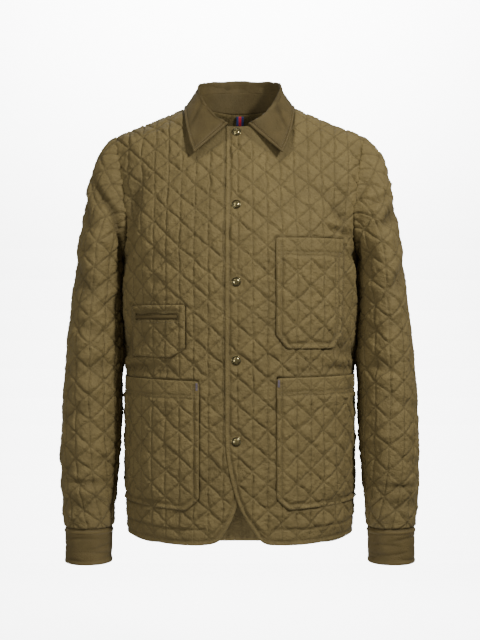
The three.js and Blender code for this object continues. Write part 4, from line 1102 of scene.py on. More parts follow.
class JacketCloth(bpy.types.PropertyGroup):
    """The olive cloth and its quilting."""
    cloth: colour_setting("Cloth", "Colour of the quilted cloth", (110, 96, 60))
    # A painted shade colour: the cloth is darkened towards it where the mesh's shade is low
    deep: colour_setting("Creases", "Colour in the deepest creases", (30, 23, 7))
    plain: colour_setting("Collar and cuffs", "Colour of the plain cloth", (90, 77, 46))
    thread: colour_setting("Thread", "Colour of the topstitching", (118, 102, 62))
    tack: colour_setting("Bar tacks", "Colour of the pockets' bar tacks", (108, 96, 104))
    puff: size_setting("Puff", "How far a quilted cell stands up", 3.3)
    weave: size_setting("Weave", "Distance between two threads", 0.55)
    stitch: size_setting("Stitch", "Length of a topstitch with the gap after it", 3.2)
    thread_width: size_setting("Thread width", "Thickness of the topstitching thread", 0.55)


class JacketTrim(bpy.types.PropertyGroup):
    """Snaps, tape and patch."""
    snap: colour_setting("Snaps", "Colour of the worn brass", (180, 165, 112))
    snap_dark: colour_setting("Tarnish", "Colour of the brass's tarnish", (62, 54, 34))
    snap_radius: size_setting("Snap radius", "Radius of a snap's cap", 7.5)
    tape_edge: colour_setting("Tape edges", "Colour of the hanger loop's edges", (40, 52, 112))
    tape_stripe: colour_setting("Tape stripe", "Colour of the hanger loop's stripe", (214, 26, 52))
    tape_width: size_setting("Tape width", "Width of the hanger loop", 12.7)
    patch: colour_setting("Patch", "Colour of the sleeve's oval patch", (232, 227, 208))


class JacketStage(bpy.types.PropertyGroup):
    """Floor, light and camera."""
    floor: colour_setting("Floor", "Colour of the floor and backdrop", (252, 252, 252))
    light: bpy.props.FloatProperty(
        name="Light", description="Strength of the soft lights", min=0, default=1.0)
    distance: size_setting("Camera distance", "From the camera to the jacket", 2300)
    level: size_setting("Camera level", "Height of the camera over the neck", -354, -3000)


def settings(name):
    return getattr(bpy.context.scene, "jacket_" + name)


# Name, colour setting, its share, whether it is quilted, and seed; the plain cloth's shares make a
# painted-shade copy, darker, for the collar, stand and welt lip and a painted-light copy, lighter, for
# the cuffs
CLOTHS = {
    "quilted": ("Quilted cloth", "cloth", 1, True, 0.0),
    "sleeve": ("Quilted sleeve cloth", "cloth", 1, True, 3.0),
    "plain": ("Plain cloth", "plain", 0.88, False, 7.0),
    "cuff": ("Cuff cloth", "plain", 1.2, False, 11.0),
}
MATERIALS = {}


def new_material(name):
    cloth, trim = settings("cloth"), settings("trim")
    if name in CLOTHS:
        label, colour, share, quilted, seed = CLOTHS[name]
        return cloth_material(label, times(getattr(cloth, colour), share), tuple(cloth.deep),
                              quilted, cloth.weave / MM, seed)
    if name == "snap":
        return snap_material(tuple(trim.snap), tuple(trim.snap_dark))
    if name == "tape":
        return tape_material(tuple(trim.tape_edge), tuple(trim.tape_stripe), trim.tape_width / MM / 2)
    if name == "patch":
        return felt_material(tuple(trim.patch))
    return thread_material({"thread": "Topstitch thread", "tack": "Bar tack thread"}[name],
                           tuple(getattr(cloth, name)))


def material(name):
    """Each material is made once, from the settings."""
    if name not in MATERIALS:
        MATERIALS[name] = new_material(name)
    return MATERIALS[name]


def flat_size(outline):
    """Width, length and area of a cut, in metres."""
    size = (outline.max(0) - outline.min(0)) * MM
    s, t = outline.T
    area = abs(np.dot(s, np.roll(t, 1)) - np.dot(t, np.roll(s, 1))) / 2 * MM * MM
    return (float(size[0]), float(size[1])), float(area)


def finish_piece(obj, slot, *nodes, cut=None, flat=None, area=None, held="hung", rests_on=(),
                 with_pieces=()):
    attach(obj, "root")
    if nodes:
        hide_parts(*nodes)
    if cut is not None:
        flat, whole = flat_size(cut)
        area = whole if area is None else area


# Pieces -----------------------------------------------------------------------------------------

# Rows of stitching and short bars of dense stitches: points, and the outward direction there
SEWN, TACKS = [], []


def sew(place, form, rows, step=2, lift=0.12, kept=SEWN):
    """Keeps rows of stitching that lie on a piece's outer face."""
    for line in rows:
        s, t = evenly(line, step).T
        outward = form.outward(s, t)
        kept.append((place(s, t, True)[0] + outward * lift, outward))


class JACKET_OT_body(bpy.types.Operator):
    """Cut and sew the quilted back and fronts"""
    bl_idname = "jacket.body"
    bl_label = "Back and fronts"

    def execute(self, context):
        puff = settings("cloth").puff / MM
        band = lambda s, t, hem: 1 - 0.5 * smooth((25 - line_distance(evenly(hem, 8), s, t)) / 5)
        both = lambda *names: [turn(BACK_LINES[k]) for turn in (np.asarray, mirrored) for k in names]
        back_hem = np.vstack(both("hem"))
        # The back lies flat under the collar
        calm_back = lambda s, t: 1 - smooth((t + 44) / 10) * smooth((104 - np.abs(s)) / 12)
        rows = [row(back_hem, gap) for gap in HEM_ROWS]
        place = panel_place(
            BODY["back"], BACK_FOLDS, BACK_SMALL_FOLDS, both("shoulder", "armhole", "side"),
            [*both("neck"), back_hem], puff, 100, lift=lambda s, t: body_ease("back", s, t),
            calm=lambda s, t: calm_back(s, t) * band(s, t, back_hem), seam_dip=BODY_SEAM_DIP,
            stitched=rows)
        sew(place, BODY["back"], rows)
        back = quilted_cloth("back_cloth", BACK_CUT, place, material("quilted"), fine=15)
        finish_piece(back, "shell", "back", cut=BACK_CUT)

        by_snaps = lambda s, t: np.min([smooth((np.hypot(s - SNAP_X, t - level) - 8) / 9)
                                        for level in SNAP_LEVELS], axis=0)
        for side, lines, cut, covered, seed in (
                ("left", LEFT_LINES, LEFT_CUT, POCKETS_LEFT, 200),
                ("right", RIGHT_LINES, RIGHT_CUT, (*POCKETS_RIGHT, LEFT_CUT[::4]), 300)):
            hem = lines["hem"]
            level = hem[(hem[:, 1] < -690) & (np.abs(hem[:, 0]) > 52)]
            rows = [row(hem, 6), row(level, 24)]
            lap = side == "left"
            place = panel_place(
                BODY["front"], FRONT_FOLDS, FRONT_SMALL_FOLDS,
                [lines[k] for k in ("shoulder", "armhole", "side")], [lines["neck"], hem], puff, seed,
                covered=[*covered, UNDER_COLLAR], seam_dip=BODY_SEAM_DIP, stitched=rows,
                calm=lambda s, t: by_snaps(s, t) * band(s, t, level),
                lift=lambda s, t: body_ease("front", s, t) + lap * lap_lift(s))
            sew(place, BODY["front"], rows)
            front = quilted_cloth("front_%s_cloth" % side, cut, place, material("quilted"))
            finish_piece(front, "shell", "front_" + side, cut=cut)
        return {"FINISHED"}


def patch_oval(count):
    angle = np.linspace(0, 2 * math.pi, count, endpoint=False)
    return PATCH_AT + np.stack([np.cos(angle), np.sin(angle)], -1) * PATCH_SIZE


class JACKET_OT_sleeves(bpy.types.Operator):
    """Cut and sew the quilted sleeves"""
    bl_idname = "jacket.sleeves"
    bl_label = "Sleeves"

    def execute(self, context):
        puff = settings("cloth").puff / MM
        for side, seed, covered in (("right", 400, []), ("left", 500, [patch_oval(24)])):
            place = panel_place(
                SLEEVE, SLEEVE_FOLDS, SLEEVE_SMALL_FOLDS[side], SLEEVE_LINES.values(), [], puff, seed,
                covered=covered, lift=sleeve_ease, seam_dip=SLEEVE_SEAM_DIP)
            sleeve = quilted_cloth("sleeve_%s_cloth" % side, SLEEVE_CUT, place, material("sleeve"),
                                   fine=15, flip=side == "left")
            finish_piece(sleeve, "shell", "sleeve_" + side, cut=SLEEVE_CUT)
        return {"FINISHED"}


class JACKET_OT_cuffs(bpy.types.Operator):
    """Sew the plain cuffs"""
    bl_idname = "jacket.cuffs"
    bl_label = "Cuffs"

    # Distance below the sleeve's end, width and height of each ridge and channel
    RIDGES = ((2.2, 1.2, -0.5), (7.6, 1.2, -0.5), (4.9, 2.2, 1.1), (0, 1.6, -1.0), (53, 2.0, 0.8))

    def execute(self, context):
        top, around, up = SLEEVE_END - 0.3, 176, 44
        angle = np.arange(around)[:, None] / around * 2 * math.pi
        z = np.linspace(CUFF_END, top, up + 1)
        drop, turn = (top - z)[None], angle / (2 * math.pi)
        across, deep = (level_value(SLEEVE_LEVELS, k, z).mean() for k in (3, 4))
        out = unit(np.stack([-np.cos(angle) / across, -np.sin(angle) / deep, 0 * angle], -1))
        for side, seed in (("right", 41), ("left", 43)):
            period = lambda k, phase: np.sin(2 * math.pi * (k * turn + phase))
            wander = 3.0 * period(1, 0.1 * seed) + 1.6 * period(3, 0.23 * seed)
            crease = np.zeros((around, up + 1))
            for k, level in enumerate((16, 27, 38, 47)):
                strength = 0.55 + 0.45 * period(2 + k % 2, 0.31 * k + 0.07 * seed)
                away = drop - level - wander * (1 if k % 2 else -0.7)
                crease -= 1.15 * strength * np.exp(-(away / 2.6) ** 2)
            for level, width, rise in self.RIDGES:
                crease += rise * np.exp(-((drop - level) / width) ** 2)
            grid = sleeve_ring(z, angle) + out * (1.4 + crease)[..., None]
            flat = cloth_uv(turn * 250 + 0 * drop, 0 * turn - drop)
            # Painted shade in the cuff's creases, lighter on its ridges
            shade, skin = np.clip(0.86 + crease * 0.16, 0.45, 1), out[:, 0]
            if side == "left":
                grid, skin = (grid * (-1, 1, 1))[::-1], (skin * (-1, 1, 1))[::-1]
                flat, shade = flat[::-1], shade[::-1]
            cuff = sheet_grid("cuff_%s_cloth" % side, grid, 2.0, material("cuff"), flat, shade, True)
            for level, _, _ in self.RIDGES[:2]:
                at = np.interp(level, drop[0, ::-1], np.arange(up, -1, -1.0))
                j = int(at)
                line = mix(grid[:, j], grid[:, min(j + 1, up)], at - j)
                SEWN.append((ringed(line + skin * 1.1), ringed(skin)))
            girth = np.linalg.norm(np.roll(grid, -1, axis=0) - grid, axis=-1).sum(0).mean()
            finish_piece(cuff, "cuff", "cuff_" + side,
                         flat=(float(girth) * MM, (top - CUFF_END) * MM))
        return {"FINISHED"}


# The collar

NECK_SEAM = np.vstack([
    BODY["front"].point(*neck_curve("front", NECK_FRONT).T),
    BODY["back"].point(*(neck_curve("back", NECK_BACK) * (-1, 1)).T)[::-1],
])
NECK_LENGTHS = lengths_of(NECK_SEAM)


def backness(share):
    return 1 - np.abs(2 * share - 1)


def side_of(share):
    return np.where(share < 0.5, -1, 1)


def neck_point(share):
    end = COLLAR_END + side_of(share) * COLLAR_MIDDLE
    point = read_line(NECK_SEAM, NECK_LENGTHS, mix(end, NECK_LENGTHS[-1], backness(share)))
    return point * np.stack([side_of(share), np.ones_like(share), np.ones_like(share)], -1)


def collar_point(first, share):
    place = backness(share)
    x, y, z = (level_value(COLLAR_ROWS, first + k, place) for k in range(3))
    return np.stack([side_of(share) * x + COLLAR_MIDDLE * (1 - place) ** 2, y, z], -1)


def collar_seam(share):
    w = level_value(COLLAR_ROWS, 7, backness(share))[..., None]
    return mix(neck_point(share), collar_point(1, share), w)


def spline_rows(knots, count):
    """Centripetal curves through rows of knots (knot, row, axis), read at even lengths."""
    ends = np.concatenate([2 * knots[:1] - knots[1:2], knots, 2 * knots[-1:] - knots[-2:-1]])
    gaps = np.sqrt(np.linalg.norm(np.diff(ends, axis=0), axis=-1))[..., None]
    w = np.linspace(0, 1, 24, endpoint=False)[:, None, None]
    fine = []
    for a, b, c, d, g0, g1, g2 in zip(ends, ends[1:], ends[2:], ends[3:], gaps, gaps[1:], gaps[2:]):
        slope_b = ((b - a) / g0 - (c - a) / (g0 + g1) + (c - b) / g1) * g1
        slope_c = ((c - b) / g1 - (d - b) / (g1 + g2) + (d - c) / g2) * g1
        fine.append(hermite(b, c, slope_b, slope_c, w))
    fine = np.concatenate([*fine, ends[-2:-1]])
    lengths = lengths_of(fine)
    return np.array([read_line(fine[:, r], lengths[:, r], np.linspace(0, lengths[-1, r], count + 1))
                     for r in range(fine.shape[1])])


def eased(grid, share):
    """Rows of points, smoothed where the two halves meet at the centre back."""
    reach = np.arange(-24, 25)
    weights = np.exp(-(reach / 10.0) ** 2)
    weights /= weights.sum()
    rows = np.clip(np.arange(len(grid))[:, None] + reach, 0, len(grid) - 1)
    soft = (grid[rows] * weights[None, :, None, None]).sum(1)
    return mix(grid, soft, np.exp(-((share - 0.5) / 0.07) ** 4)[:, None, None])


class JACKET_OT_collar(bpy.types.Operator):
    """Sew the collar's stand and fall"""
    bl_idname = "jacket.collar"
    bl_label = "Collar"

    def execute(self, context):
        share = np.linspace(0, 1, 321)
        seam, fold, edge = collar_seam(share), collar_point(1, share), collar_point(4, share)
        up, down = unit(fold - neck_point(share)), unit(edge - fold)
        ahead = collar_point(1, np.minimum(1, share + 0.01))
        ahead = ahead - collar_point(1, np.maximum(0, share - 0.01))
        out = unit(np.stack([ahead[:, 1], -ahead[:, 0], 0 * share], -1))
        near = np.minimum(4, 0.5 * np.linalg.norm(fold - seam, axis=1))[:, None]
        grid = eased(spline_rows(np.stack([
            seam, fold - up * near - out * 0.9, fold + up * 0.6, fold + down * 4 + out * 1.7,
            mix(fold, edge, 0.5) + out * 2.6, edge]), 44), share)
        place = lengths_of(grid, axis=1)
        to_edge = place[:, -1:] - place
        girth = lengths_of(grid[:, -1])[:, None] + 0 * to_edge
        around = girth[-1, 0]
        # A raised turned edge with its stitched channel, and soft waves
        normal = normals(grid)
        near_edge = np.minimum(to_edge, np.minimum(girth, around - girth))
        wave = 0.7 * noise(girth / 34, to_edge / 26, 61) + 0.3 * noise(girth / 11, to_edge / 12, 62)
        height = (wave * smooth(near_edge / 10) - 1.0 * np.exp(-((near_edge - 5.5) / 1.3) ** 2)
                  + 0.35 * np.exp(-((near_edge - 2.2) / 1.6) ** 2))
        height += fold_height([(at * around, level, degrees, 26, 7, rise)
                               for at, level, degrees, rise in COLLAR_WAVES], girth, to_edge)
        grid = grid + normal * height[..., None]
        # Painted shade in the stitched channel and the hollows of the waves
        fall = sheet_grid("collar_fall_cloth", grid, COLLAR_WALL, material("plain"),
                          cloth_uv(girth, to_edge), np.clip(0.95 + 0.3 * height, 0.5, 1))
        over = COLLAR_WALL / 2 + 0.1
        for gap in COLLAR_ROWS_IN:
            inside = (girth[:, 0] > gap) & (girth[:, 0] < around - gap)
            for i in np.flatnonzero(inside)[[0, -1]]:
                levels = np.linspace(12, place[i, -1] - gap, 20)
                line, skin = (read_line(table[i], place[i], levels) for table in (grid, normal))
                SEWN.append((line + skin * over, skin))
            line, skin = (np.array([read_line(table[i], place[i], place[i, -1] - gap)
                                    for i in np.flatnonzero(inside)]) for table in (grid, normal))
            SEWN.append((line + skin * over, skin))
        width = float(lengths_of(grid[:, 22])[-1]) * MM
        finish_piece(fall, "collar", "collar_fall", flat=(width, float(place[:, -1].max()) * MM),
                     area=float(place[:, -1].mean()) * MM * width, held="folded")

        share = np.linspace(STAND_START, 1 - STAND_START, 200)
        low, high = neck_point(share), collar_seam(share)
        length = np.linalg.norm(high - low, axis=1)
        place = mix(0.7, length[:, None] + 0.2, np.linspace(0, 1, 13))
        steps = (place / length[:, None])[..., None]
        grid = eased(low[:, None] + (high - low)[:, None] * steps, share)
        girth = lengths_of(grid[:, 6])[:, None] + 0 * place
        height = 0.5 * noise(girth / 22, place / 14, 66)
        grid = grid + normals(grid) * (height * smooth(place / 4))[..., None]
        # The stand under the fall gets an even painted shade
        stand = sheet_grid("collar_stand_cloth", grid, COLLAR_WALL, material("plain"),
                           cloth_uv(girth, place), np.full(place.shape, 0.9))
        width = float(girth[-1, 0]) * MM
        finish_piece(stand, "collar", "collar_stand", flat=(width, float(length.max()) * MM),
                     area=float(length.mean()) * MM * width)
        return {"FINISHED"}


# Pockets

# Cut, level of the mouth, side
POCKETS = {
    "pocket_chest": (CHEST_POCKET, -226, "left"),
    "pocket_hip_left": (HIP_POCKET_LEFT, -443, "left"),
    "pocket_hip_right": (HIP_POCKET_RIGHT, -446, "right"),
}


def inset(cut, distance):
    """A closed cut moved inwards by a distance."""
    points = clockwise(cut)[::-1]
    ahead = unit(np.roll(points, -1, axis=0) - points)
    b = np.stack([-ahead[:, 1], ahead[:, 0]], -1)
    a = np.roll(b, 1, axis=0)
    return points + (a + b) / (1 + (a * b).sum(1, keepdims=True)) * distance


def rounded(cut, radius):
    """A closed cut with its corners rounded."""
    points = np.asarray(cut, float)
    out = []
    for before, at, after in zip(np.roll(points, 1, axis=0), points, np.roll(points, -1, axis=0)):
        reach = min(radius, 0.45 * math.dist(before, at), 0.45 * math.dist(after, at))
        start, end = at + unit(before - at) * reach, at + unit(after - at) * reach
        out += [mix(mix(start, at, w), mix(at, end, w), w) for w in np.linspace(0, 1, 5)]
    return np.array(out)


def pocket_sides(cut, mouth):
    """The line down one side of a pocket, along its bottom and up the other side."""
    above = cut[:, 1] > mouth - MOUTH_REACH
    start = next(i for i in range(len(cut)) if above[i] and not above[(i + 1) % len(cut)])
    return np.roll(cut, -start, axis=0)


def mouth_line(cut, mouth, drop):
    """A line across a pocket, parallel to its mouth."""
    top = cut[cut[:, 1] > mouth - MOUTH_REACH]
    return np.array([top[top[:, 0].argmin()] + (3, -drop), top[top[:, 0].argmax()] + (-3, -drop)])


def pocket_place(outline, puff, seed, **more):
    return panel_place(BODY["front"], FRONT_FOLDS, FRONT_SMALL_FOLDS, [], [ringed(outline)], puff,
                       seed, layer=POCKET_LAYER, flat_edge=-1.5, **more)


class JACKET_OT_pockets(bpy.types.Operator):
    """Sew the patch pockets and the welt pocket"""
    bl_idname = "jacket.pockets"
    bl_label = "Pockets"

    def execute(self, context):
        puff, body = settings("cloth").puff / MM, BODY["front"]
        for number, (name, (cut, mouth, side)) in enumerate(POCKETS.items()):
            cut = np.array(cut, float)
            low, high = cut[:, 0].min(), cut[:, 0].max()
            middle, half = (low + high) / 2, (high - low) / 2
            outline = rounded(cut, 5)

            def sag(s, t):
                room = smooth(1.1 - np.abs((s - middle) / half))
                return 2.4 * smooth((t - mouth) / 70 + 1) * room + 0.5 * smooth((np.abs(s) - 165) / 25)

            def calm(s, t):
                return 1 - 0.6 * smooth((t - mouth + MOUTH_BAND + 4) / 5)

            band = [mouth_line(cut, mouth, MOUTH_BAND + drop) for drop in (0, 5)]
            sides = [pocket_sides(inset(cut, gap), mouth) for gap in POCKET_ROWS_IN]
            place = pocket_place(outline, puff, 600 + 40 * number, calm=calm, lift=sag,
                                 stitched=[*band, sides[1]])
            sew(place, body, [*band, *sides])
            if name != "pocket_chest":
                at = mouth_line(cut, mouth, 2.5)[1 if side == "right" else 0]
                sew(place, body, [[at, at + (0, -11)]], 0.6, 0.25, TACKS)
            pocket = quilted_cloth(name + "_cloth", outline, place, material("quilted"))
            finish_piece(pocket, "shell", name, cut=outline, held="laid",
                         rests_on=["front_" + side + "_cloth"])

        outline = rounded(WELT_POCKET, 4)
        place = pocket_place(outline, puff, 800, covered=[WELT_SLOT], stitched=[WELT_STITCH])
        sew(place, body, [ringed(inset(WELT_POCKET, POCKET_ROWS_IN[0])), WELT_STITCH,
                          WELT_STITCH - (0, 17.5)])
        welt = quilted_cloth("pocket_welt_cloth", outline, place, material("quilted"),
                             holes=[np.array(WELT_SLOT, float)])
        s, w = np.meshgrid(np.linspace(*LIP_ENDS, 70), np.linspace(0, 1, 11), indexing="ij")
        t = mix(*LIP_EDGES, w)
        crown = 1.0 * np.sin(w * math.pi) ** 0.7 + 0.15 * noise(s / 9, w * 2, 71)
        height = fold_height(FRONT_FOLDS, s, t) + fold_height(FRONT_SMALL_FOLDS, s, t)
        grid = body.raised(s, t, height + POCKET_LAYER + 0.2 + crown)
        # Painted shade towards the lip's edges
        lip = sheet_grid("welt_lip_cloth", grid, 1.5, material("plain"), cloth_uv(s, t),
                         np.clip(0.6 + 0.4 * crown, 0, 1))
        finish_piece(lip, "cuff", "welt_lip")
        finish_piece(welt, "shell", "pocket_welt", cut=outline, area=flat_size(outline)[1] * 0.93,
                     held="laid", rests_on=["front_right_cloth"], with_pieces=[lip])
        return {"FINISHED"}


class JACKET_OT_snaps(bpy.types.Operator):
    """Press the domed snaps into the front"""
    bl_idname = "jacket.snaps"
    bl_label = "Snaps"

    PROFILE = (
        (7.0, 0.0), (7.05, 0.35), (7.0, 0.75), (6.75, 1.05), (6.4, 1.18), (6.0, 1.15), (5.75, 1.02),
        (5.6, 1.0), (5.4, 1.1), (5.1, 1.5), (4.6, 1.95), (3.9, 2.4), (3.0, 2.75), (2.0, 2.98),
        (1.0, 3.08),
    )

    def execute(self, context):
        scale = settings("trim").snap_radius / MM / 7
        around = 48
        angle = np.arange(around)[:, None] / around * 2 * math.pi
        index = np.arange(around * len(self.PROFILE)).reshape(-1, around)
        ahead = np.roll(index, -1, axis=1)
        walls = np.stack([index[:-1], ahead[:-1], ahead[1:], index[1:]], -1).reshape(-1, 4)
        top = np.stack([index[-1], ahead[-1], np.full(around, index.size)], -1)
        under = np.stack([ahead[0], index[0], np.full(around, index.size + 1)], -1)
        # Painted highlight and shade: bright on the dome's top, darkest in the groove round it, half
        # dark on the rim and dark underneath
        worn_and_painted_light = [smooth((5.7 - r) / 1.2) * 0.8 + 0.2 if r < 6.2 else 0.62 for r, _ in self.PROFILE]
        worn_and_painted_light = np.concatenate([np.repeat(worn_and_painted_light, around), [1.0, 0.3]])
        for number, level in enumerate(SNAP_LEVELS, 1):
            out = BODY["front"].outward(SNAP_X, level)
            seat = BODY["front"].raised(SNAP_X, level, LAP_LIFT + WALL / 2 + 0.05)
            side = unit(np.cross(out, (0, 0, 1.0)))
            ring = np.cos(angle) * side + np.sin(angle) * np.cross(side, out)
            points = [seat + ring * radius * scale + out * height for radius, height in self.PROFILE]
            points = np.vstack([*points, seat + out * 3.1, seat])
            faces = [walls, top, under]
            first = points[top[0]]
            if np.dot(np.cross(first[1] - first[0], first[2] - first[0]), out) < 0:
                faces = [f[:, ::-1] for f in faces]
            cap = make_object("snap_%d_cap" % number, points, faces, material("snap"), None, worn_and_painted_light)
            finish_piece(cap, "snap", "snap_%d" % number)
        return {"FINISHED"}


class JACKET_OT_loop_and_patch(bpy.types.Operator):
    """Sew in the hanger loop and the sleeve's patch"""
    bl_idname = "jacket.loop_and_patch"
    bl_label = "Hanger loop and patch"

    def execute(self, context):
        half, length = settings("trim").tape_width / MM / 2, 40
        s, drop = np.meshgrid(np.linspace(half, -half, 15), np.linspace(0, length, 60), indexing="ij")
        t = NECK_BACK - 3 - drop
        height = -WALL / 2 - 0.9 - 2.4 * np.sin(drop / length * math.pi)
        grid = BODY["back"].raised(s, t, height + fold_height(BACK_FOLDS, s, t))
        loop = sheet_grid("hanger_loop_tape", grid, 1.1, material("tape"), cloth_uv(s, t))
        finish_piece(loop, "tape", "hanger_loop", flat=(2 * half * MM, length * MM))

        def place(s, t, is_top):
            at = (np.stack([s, t], -1) - PATCH_AT) / PATCH_SIZE
            to_edge = (1 - np.linalg.norm(at, axis=-1)) * 16
            height = fold_height((*SLEEVE_FOLDS, *SLEEVE_SMALL_FOLDS["left"]), s, t) + WALL / 2
            height = height + (1.25 if is_top else 0.15)
            if is_top:
                height = height + 0.5 * smooth(to_edge / 1.2) + 0.12 * noise(s / 5, t / 5, 81)
                height = height - 0.45 * np.exp(-((to_edge - 2.0) / 0.7) ** 2)
            # Painted shade in the channel round the patch's edge
            return SLEEVE.raised(s, t, height), 1 - 0.5 * np.exp(-((to_edge - 2.0) / 0.6) ** 2)

        outline = patch_oval(64)
        patch = quilted_cloth("sleeve_patch_felt", outline, place, material("patch"), fine=30,
                              coarse=12, edge_step=1.0, flip=True)
        finish_piece(patch, "patch", "sleeve_patch", cut=outline, held="laid",
                     rests_on=["sleeve_left_cloth"])
        return {"FINISHED"}


def stitch_tree():
    """Stitches along lines: each lies flat on the cloth, or across its line."""
    group = bpy.data.node_groups.new("Stitches", "GeometryNodeTree")
    for way in ("OUTPUT", "INPUT"):
        group.interface.new_socket("Geometry", in_out=way, socket_type="NodeSocketGeometry")
    sockets = {}
    for name in ("Spacing", "Length", "Thickness", "Turn", "Thread"):
        kind = "NodeSocketMaterial" if name == "Thread" else "NodeSocketFloat"
        sockets[name] = group.interface.new_socket(name, in_out="INPUT", socket_type=kind).identifier

    node = Tree(group).node
    given = node("NodeGroupInput").out
    normal = node("GeometryNodeInputNamedAttribute", {"data_type": "FLOAT_VECTOR"},
                  {"Name": "outward"}).out("Attribute")
    curve = node("GeometryNodeMeshToCurve", {}, {"Mesh": given("Geometry")}).out()
    even = node("GeometryNodeResampleCurve", {"mode": "LENGTH"},
                {"Curve": curve, "Length": given("Spacing")}).out()
    along = node("FunctionNodeAlignRotationToVector", {"axis": "X"},
                 {"Vector": node("GeometryNodeInputTangent").out()}).out()
    lying = node("FunctionNodeAlignRotationToVector", {"axis": "Z", "pivot_axis": "X"},
                 {"Rotation": along, "Vector": normal}).out()
    turn = node("ShaderNodeCombineXYZ", {}, {"Z": given("Turn")}).out()
    turned = node("FunctionNodeRotateRotation", {"rotation_space": "LOCAL"},
                  {"Rotation": lying, "Rotate By": turn}).out()
    thread = node("GeometryNodeMeshUVSphere", {}, {"Segments": 6, "Rings": 4, "Radius": 0.5}).out()
    size = node("ShaderNodeCombineXYZ", {}, {
        "X": given("Length"), "Y": given("Thickness"), "Z": given("Thickness")}).out()
    made = node("GeometryNodeInstanceOnPoints", {}, {
        "Points": even, "Instance": thread, "Rotation": turned, "Scale": size}).out()
    for kind in ("GeometryNodeRealizeInstances", "GeometryNodeSetShadeSmooth"):
        made = node(kind, {}, {"Geometry": made}).out()
    made = node("GeometryNodeSetMaterial", {}, {"Geometry": made, "Material": given("Thread")}).out()
    node("NodeGroupOutput", {}, {"Geometry": made})
    return group, sockets


def stitched(name, rows, group, sockets, inputs):
    """A plain mesh of the stitches along rows of points."""
    points = np.vstack([line for line, _ in rows]) * MM
    ends = np.cumsum([len(line) for line, _ in rows])
    edges = [(i, i + 1) for i in range(len(points) - 1) if i + 1 not in ends]
    guide = bpy.data.meshes.new(name + "_guide")
    guide.from_pydata(points.tolist(), edges, [])
    layer = guide.attributes.new("outward", "FLOAT_VECTOR", "POINT")
    layer.data.foreach_set("vector", np.vstack([out for _, out in rows]).astype(np.float32).ravel())
    obj = linked(name, guide)
    modifier = obj.modifiers.new("Stitches", "NODES")
    modifier.node_group = group
    for key, value in inputs.items():
        modifier[sockets[key]] = value
    bpy.context.view_layer.update()
    made = bpy.data.meshes.new_from_object(obj.evaluated_get(bpy.context.evaluated_depsgraph_get()))
    obj.modifiers.remove(modifier)
    obj.data = made
    if not made.polygons:
        raise RuntimeError(name + " has no stitches")
    return obj


class JACKET_OT_stitching(bpy.types.Operator):
    """Sew the rows of topstitching and the pockets' bar tacks"""
    bl_idname = "jacket.stitching"
    bl_label = "Stitching"

    def execute(self, context):
        cloth = settings("cloth")
        tree = stitch_tree()
        finish_piece(stitched("topstitching", SEWN, *tree, {
            "Spacing": cloth.stitch, "Length": cloth.stitch * 0.74, "Thickness": cloth.thread_width,
            "Turn": 0.0, "Thread": material("thread")}), "shell")
        finish_piece(stitched("bar_tacks", TACKS, *tree, {
            "Spacing": 0.0007, "Length": 0.0044, "Thickness": 0.0008, "Turn": math.pi / 2,
            "Thread": material("tack")}), "shell")
        return {"FINISHED"}


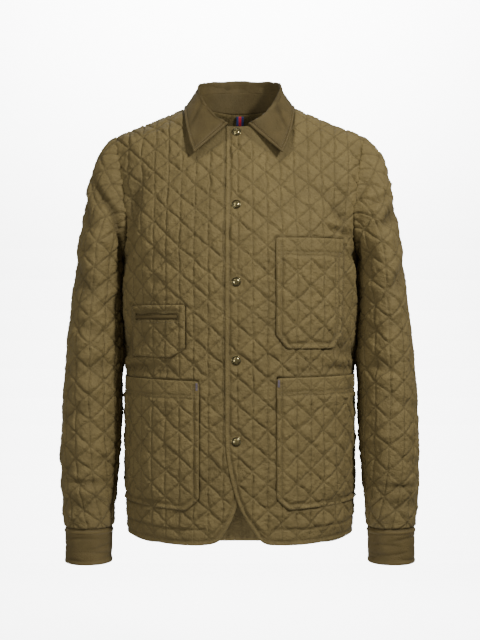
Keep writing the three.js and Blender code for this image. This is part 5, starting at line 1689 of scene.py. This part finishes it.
class JACKET_OT_stage(bpy.types.Operator):
    """Set the pale floor, the soft light and the camera"""
    bl_idname = "jacket.stage"
    bl_label = "Stage"

    FLOOR_LEVEL, FLOOR_HALF, FLOOR_FRONT = -1.02, 6, -4.0
    BEND_START, BEND_RADIUS, BACKDROP_TOP = 1.4, 0.9, 4.2
    LENS, SENSOR = 78.4, 36
    # Name, place, target, size and power
    LIGHTS = (
        ("key", (1.3, -1.35, 1.0), (0, 0, -0.35), 0.26, 57),
        ("fill", (-1.5, -2.2, -0.5), (0, 0, -0.4), 1.0, 25),
        ("sky", (-0.8, -1.6, 1.0), (0, 0, -0.4), 0.8, 8),
        ("inside", (0, -0.05, -0.96), (0, 0.1, -0.7), 0.14, 0.7),
        ("back", (-0.4, 1.5, 1.7), (0, 0, -0.3), 1.2, 12),
        ("backdrop", (0, 0.95, 1.2), (0, 2.6, -0.5), 2.2, 360),
        ("floor", (0, 1.0, 0.6), (0, 1.7, -1.0), 2.0, 110),
    )

    def execute(self, context):
        choice, scene = settings("stage"), context.scene
        # A floor that curves up into a backdrop
        bend = [(self.BEND_START + self.BEND_RADIUS * math.sin(a), self.BEND_RADIUS * (1 - math.cos(a)))
                for a in np.linspace(0.1, math.pi / 2, 14)]
        profile = [(self.FLOOR_FRONT, 0), (self.BEND_START, 0), *bend, (bend[-1][0], self.BACKDROP_TOP)]
        points = [(x, y, self.FLOOR_LEVEL + z) for y, z in profile
                  for x in (-self.FLOOR_HALF, self.FLOOR_HALF)]
        faces = [(i, i + 1, i + 3, i + 2) for i in range(0, len(points) - 2, 2)]
        mesh = bpy.data.meshes.new("floor")
        mesh.from_pydata(points, [], faces)
        floor = linked("floor", mesh)
        # Its glare isn't to wash out the cloth's relief
        floor.visible_diffuse = floor.visible_glossy = False
        shader = Shader("Floor paper", tuple(choice.floor), 0.9)
        shader.set("Roughness", shader.noise(60, 2) * 0.1 + 0.85)
        mesh.materials.append(shader.material)
        floor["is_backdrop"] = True

        world = bpy.data.worlds.new("Soft studio")
        world.use_nodes = True
        background = next(n for n in world.node_tree.nodes if n.type == "BACKGROUND")
        background.inputs["Color"].default_value = (1, 1, 1, 1)
        background.inputs["Strength"].default_value = 0.22 * choice.light
        scene.world = world
        lit_apart = bpy.data.collections.new("Lit apart")
        lit_apart.objects.link(floor)
        for name, at, target, size, power in self.LIGHTS:
            data = bpy.data.lights.new(name, "AREA")
            data.energy, data.size = power * choice.light, size
            lamp = linked(name, data)
            lamp.location = at
            lamp.rotation_euler = (Vector(target) - Vector(at)).to_track_quat("-Z", "Y").to_euler()
            if name in ("backdrop", "floor"):
                lamp.light_linking.receiver_collection = lit_apart

        data = bpy.data.cameras.new("camera")
        data.lens, data.sensor_width, data.sensor_fit = self.LENS, self.SENSOR, "AUTO"
        data.clip_start, data.clip_end = 0.05, 40
        camera = linked("camera", data)
        camera.location = (0, -choice.distance, choice.level)
        camera.rotation_euler = (math.pi / 2, 0, 0)
        scene.camera = camera
        return {"FINISHED"}


class JACKET_PT_panel(bpy.types.Panel):
    """Shows the jacket's settings and the buttons that make its pieces"""
    bl_idname = "JACKET_PT_panel"
    bl_label = "Quilted jacket"
    bl_space_type = "VIEW_3D"
    bl_region_type = "UI"
    bl_category = "Jacket"

    def draw(self, context):
        for name in GROUPS:
            group = getattr(context.scene, name)
            box = self.layout.box()
            for key in group.bl_rna.properties.keys():
                if key not in ("rna_type", "name"):
                    box.prop(group, key)
        for operator in OPERATORS:
            self.layout.operator(operator.bl_idname)


OPERATORS = (
    JACKET_OT_body, JACKET_OT_sleeves, JACKET_OT_cuffs, JACKET_OT_collar, JACKET_OT_pockets,
    JACKET_OT_snaps, JACKET_OT_loop_and_patch, JACKET_OT_stitching, JACKET_OT_stage,
)
GROUPS = {"jacket_cloth": JacketCloth, "jacket_trim": JacketTrim, "jacket_stage": JacketStage}
CLASSES = (*GROUPS.values(), *OPERATORS, JACKET_PT_panel)


def register():
    for cls in CLASSES:
        bpy.utils.register_class(cls)
    for name, group in GROUPS.items():
        setattr(bpy.types.Scene, name, bpy.props.PointerProperty(type=group))


def unregister():
    for name in GROUPS:
        delattr(bpy.types.Scene, name)
    for cls in reversed(CLASSES):
        bpy.utils.unregister_class(cls)


def main():
    register()
    for operator in OPERATORS:
        group, name = operator.bl_idname.split(".")
        getattr(getattr(bpy.ops, group), name)()
    boxes = [[list(map(float, corner)) for corner in box] for box in (CAD_BOX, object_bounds())]


if __name__ == "__main__":
    main()
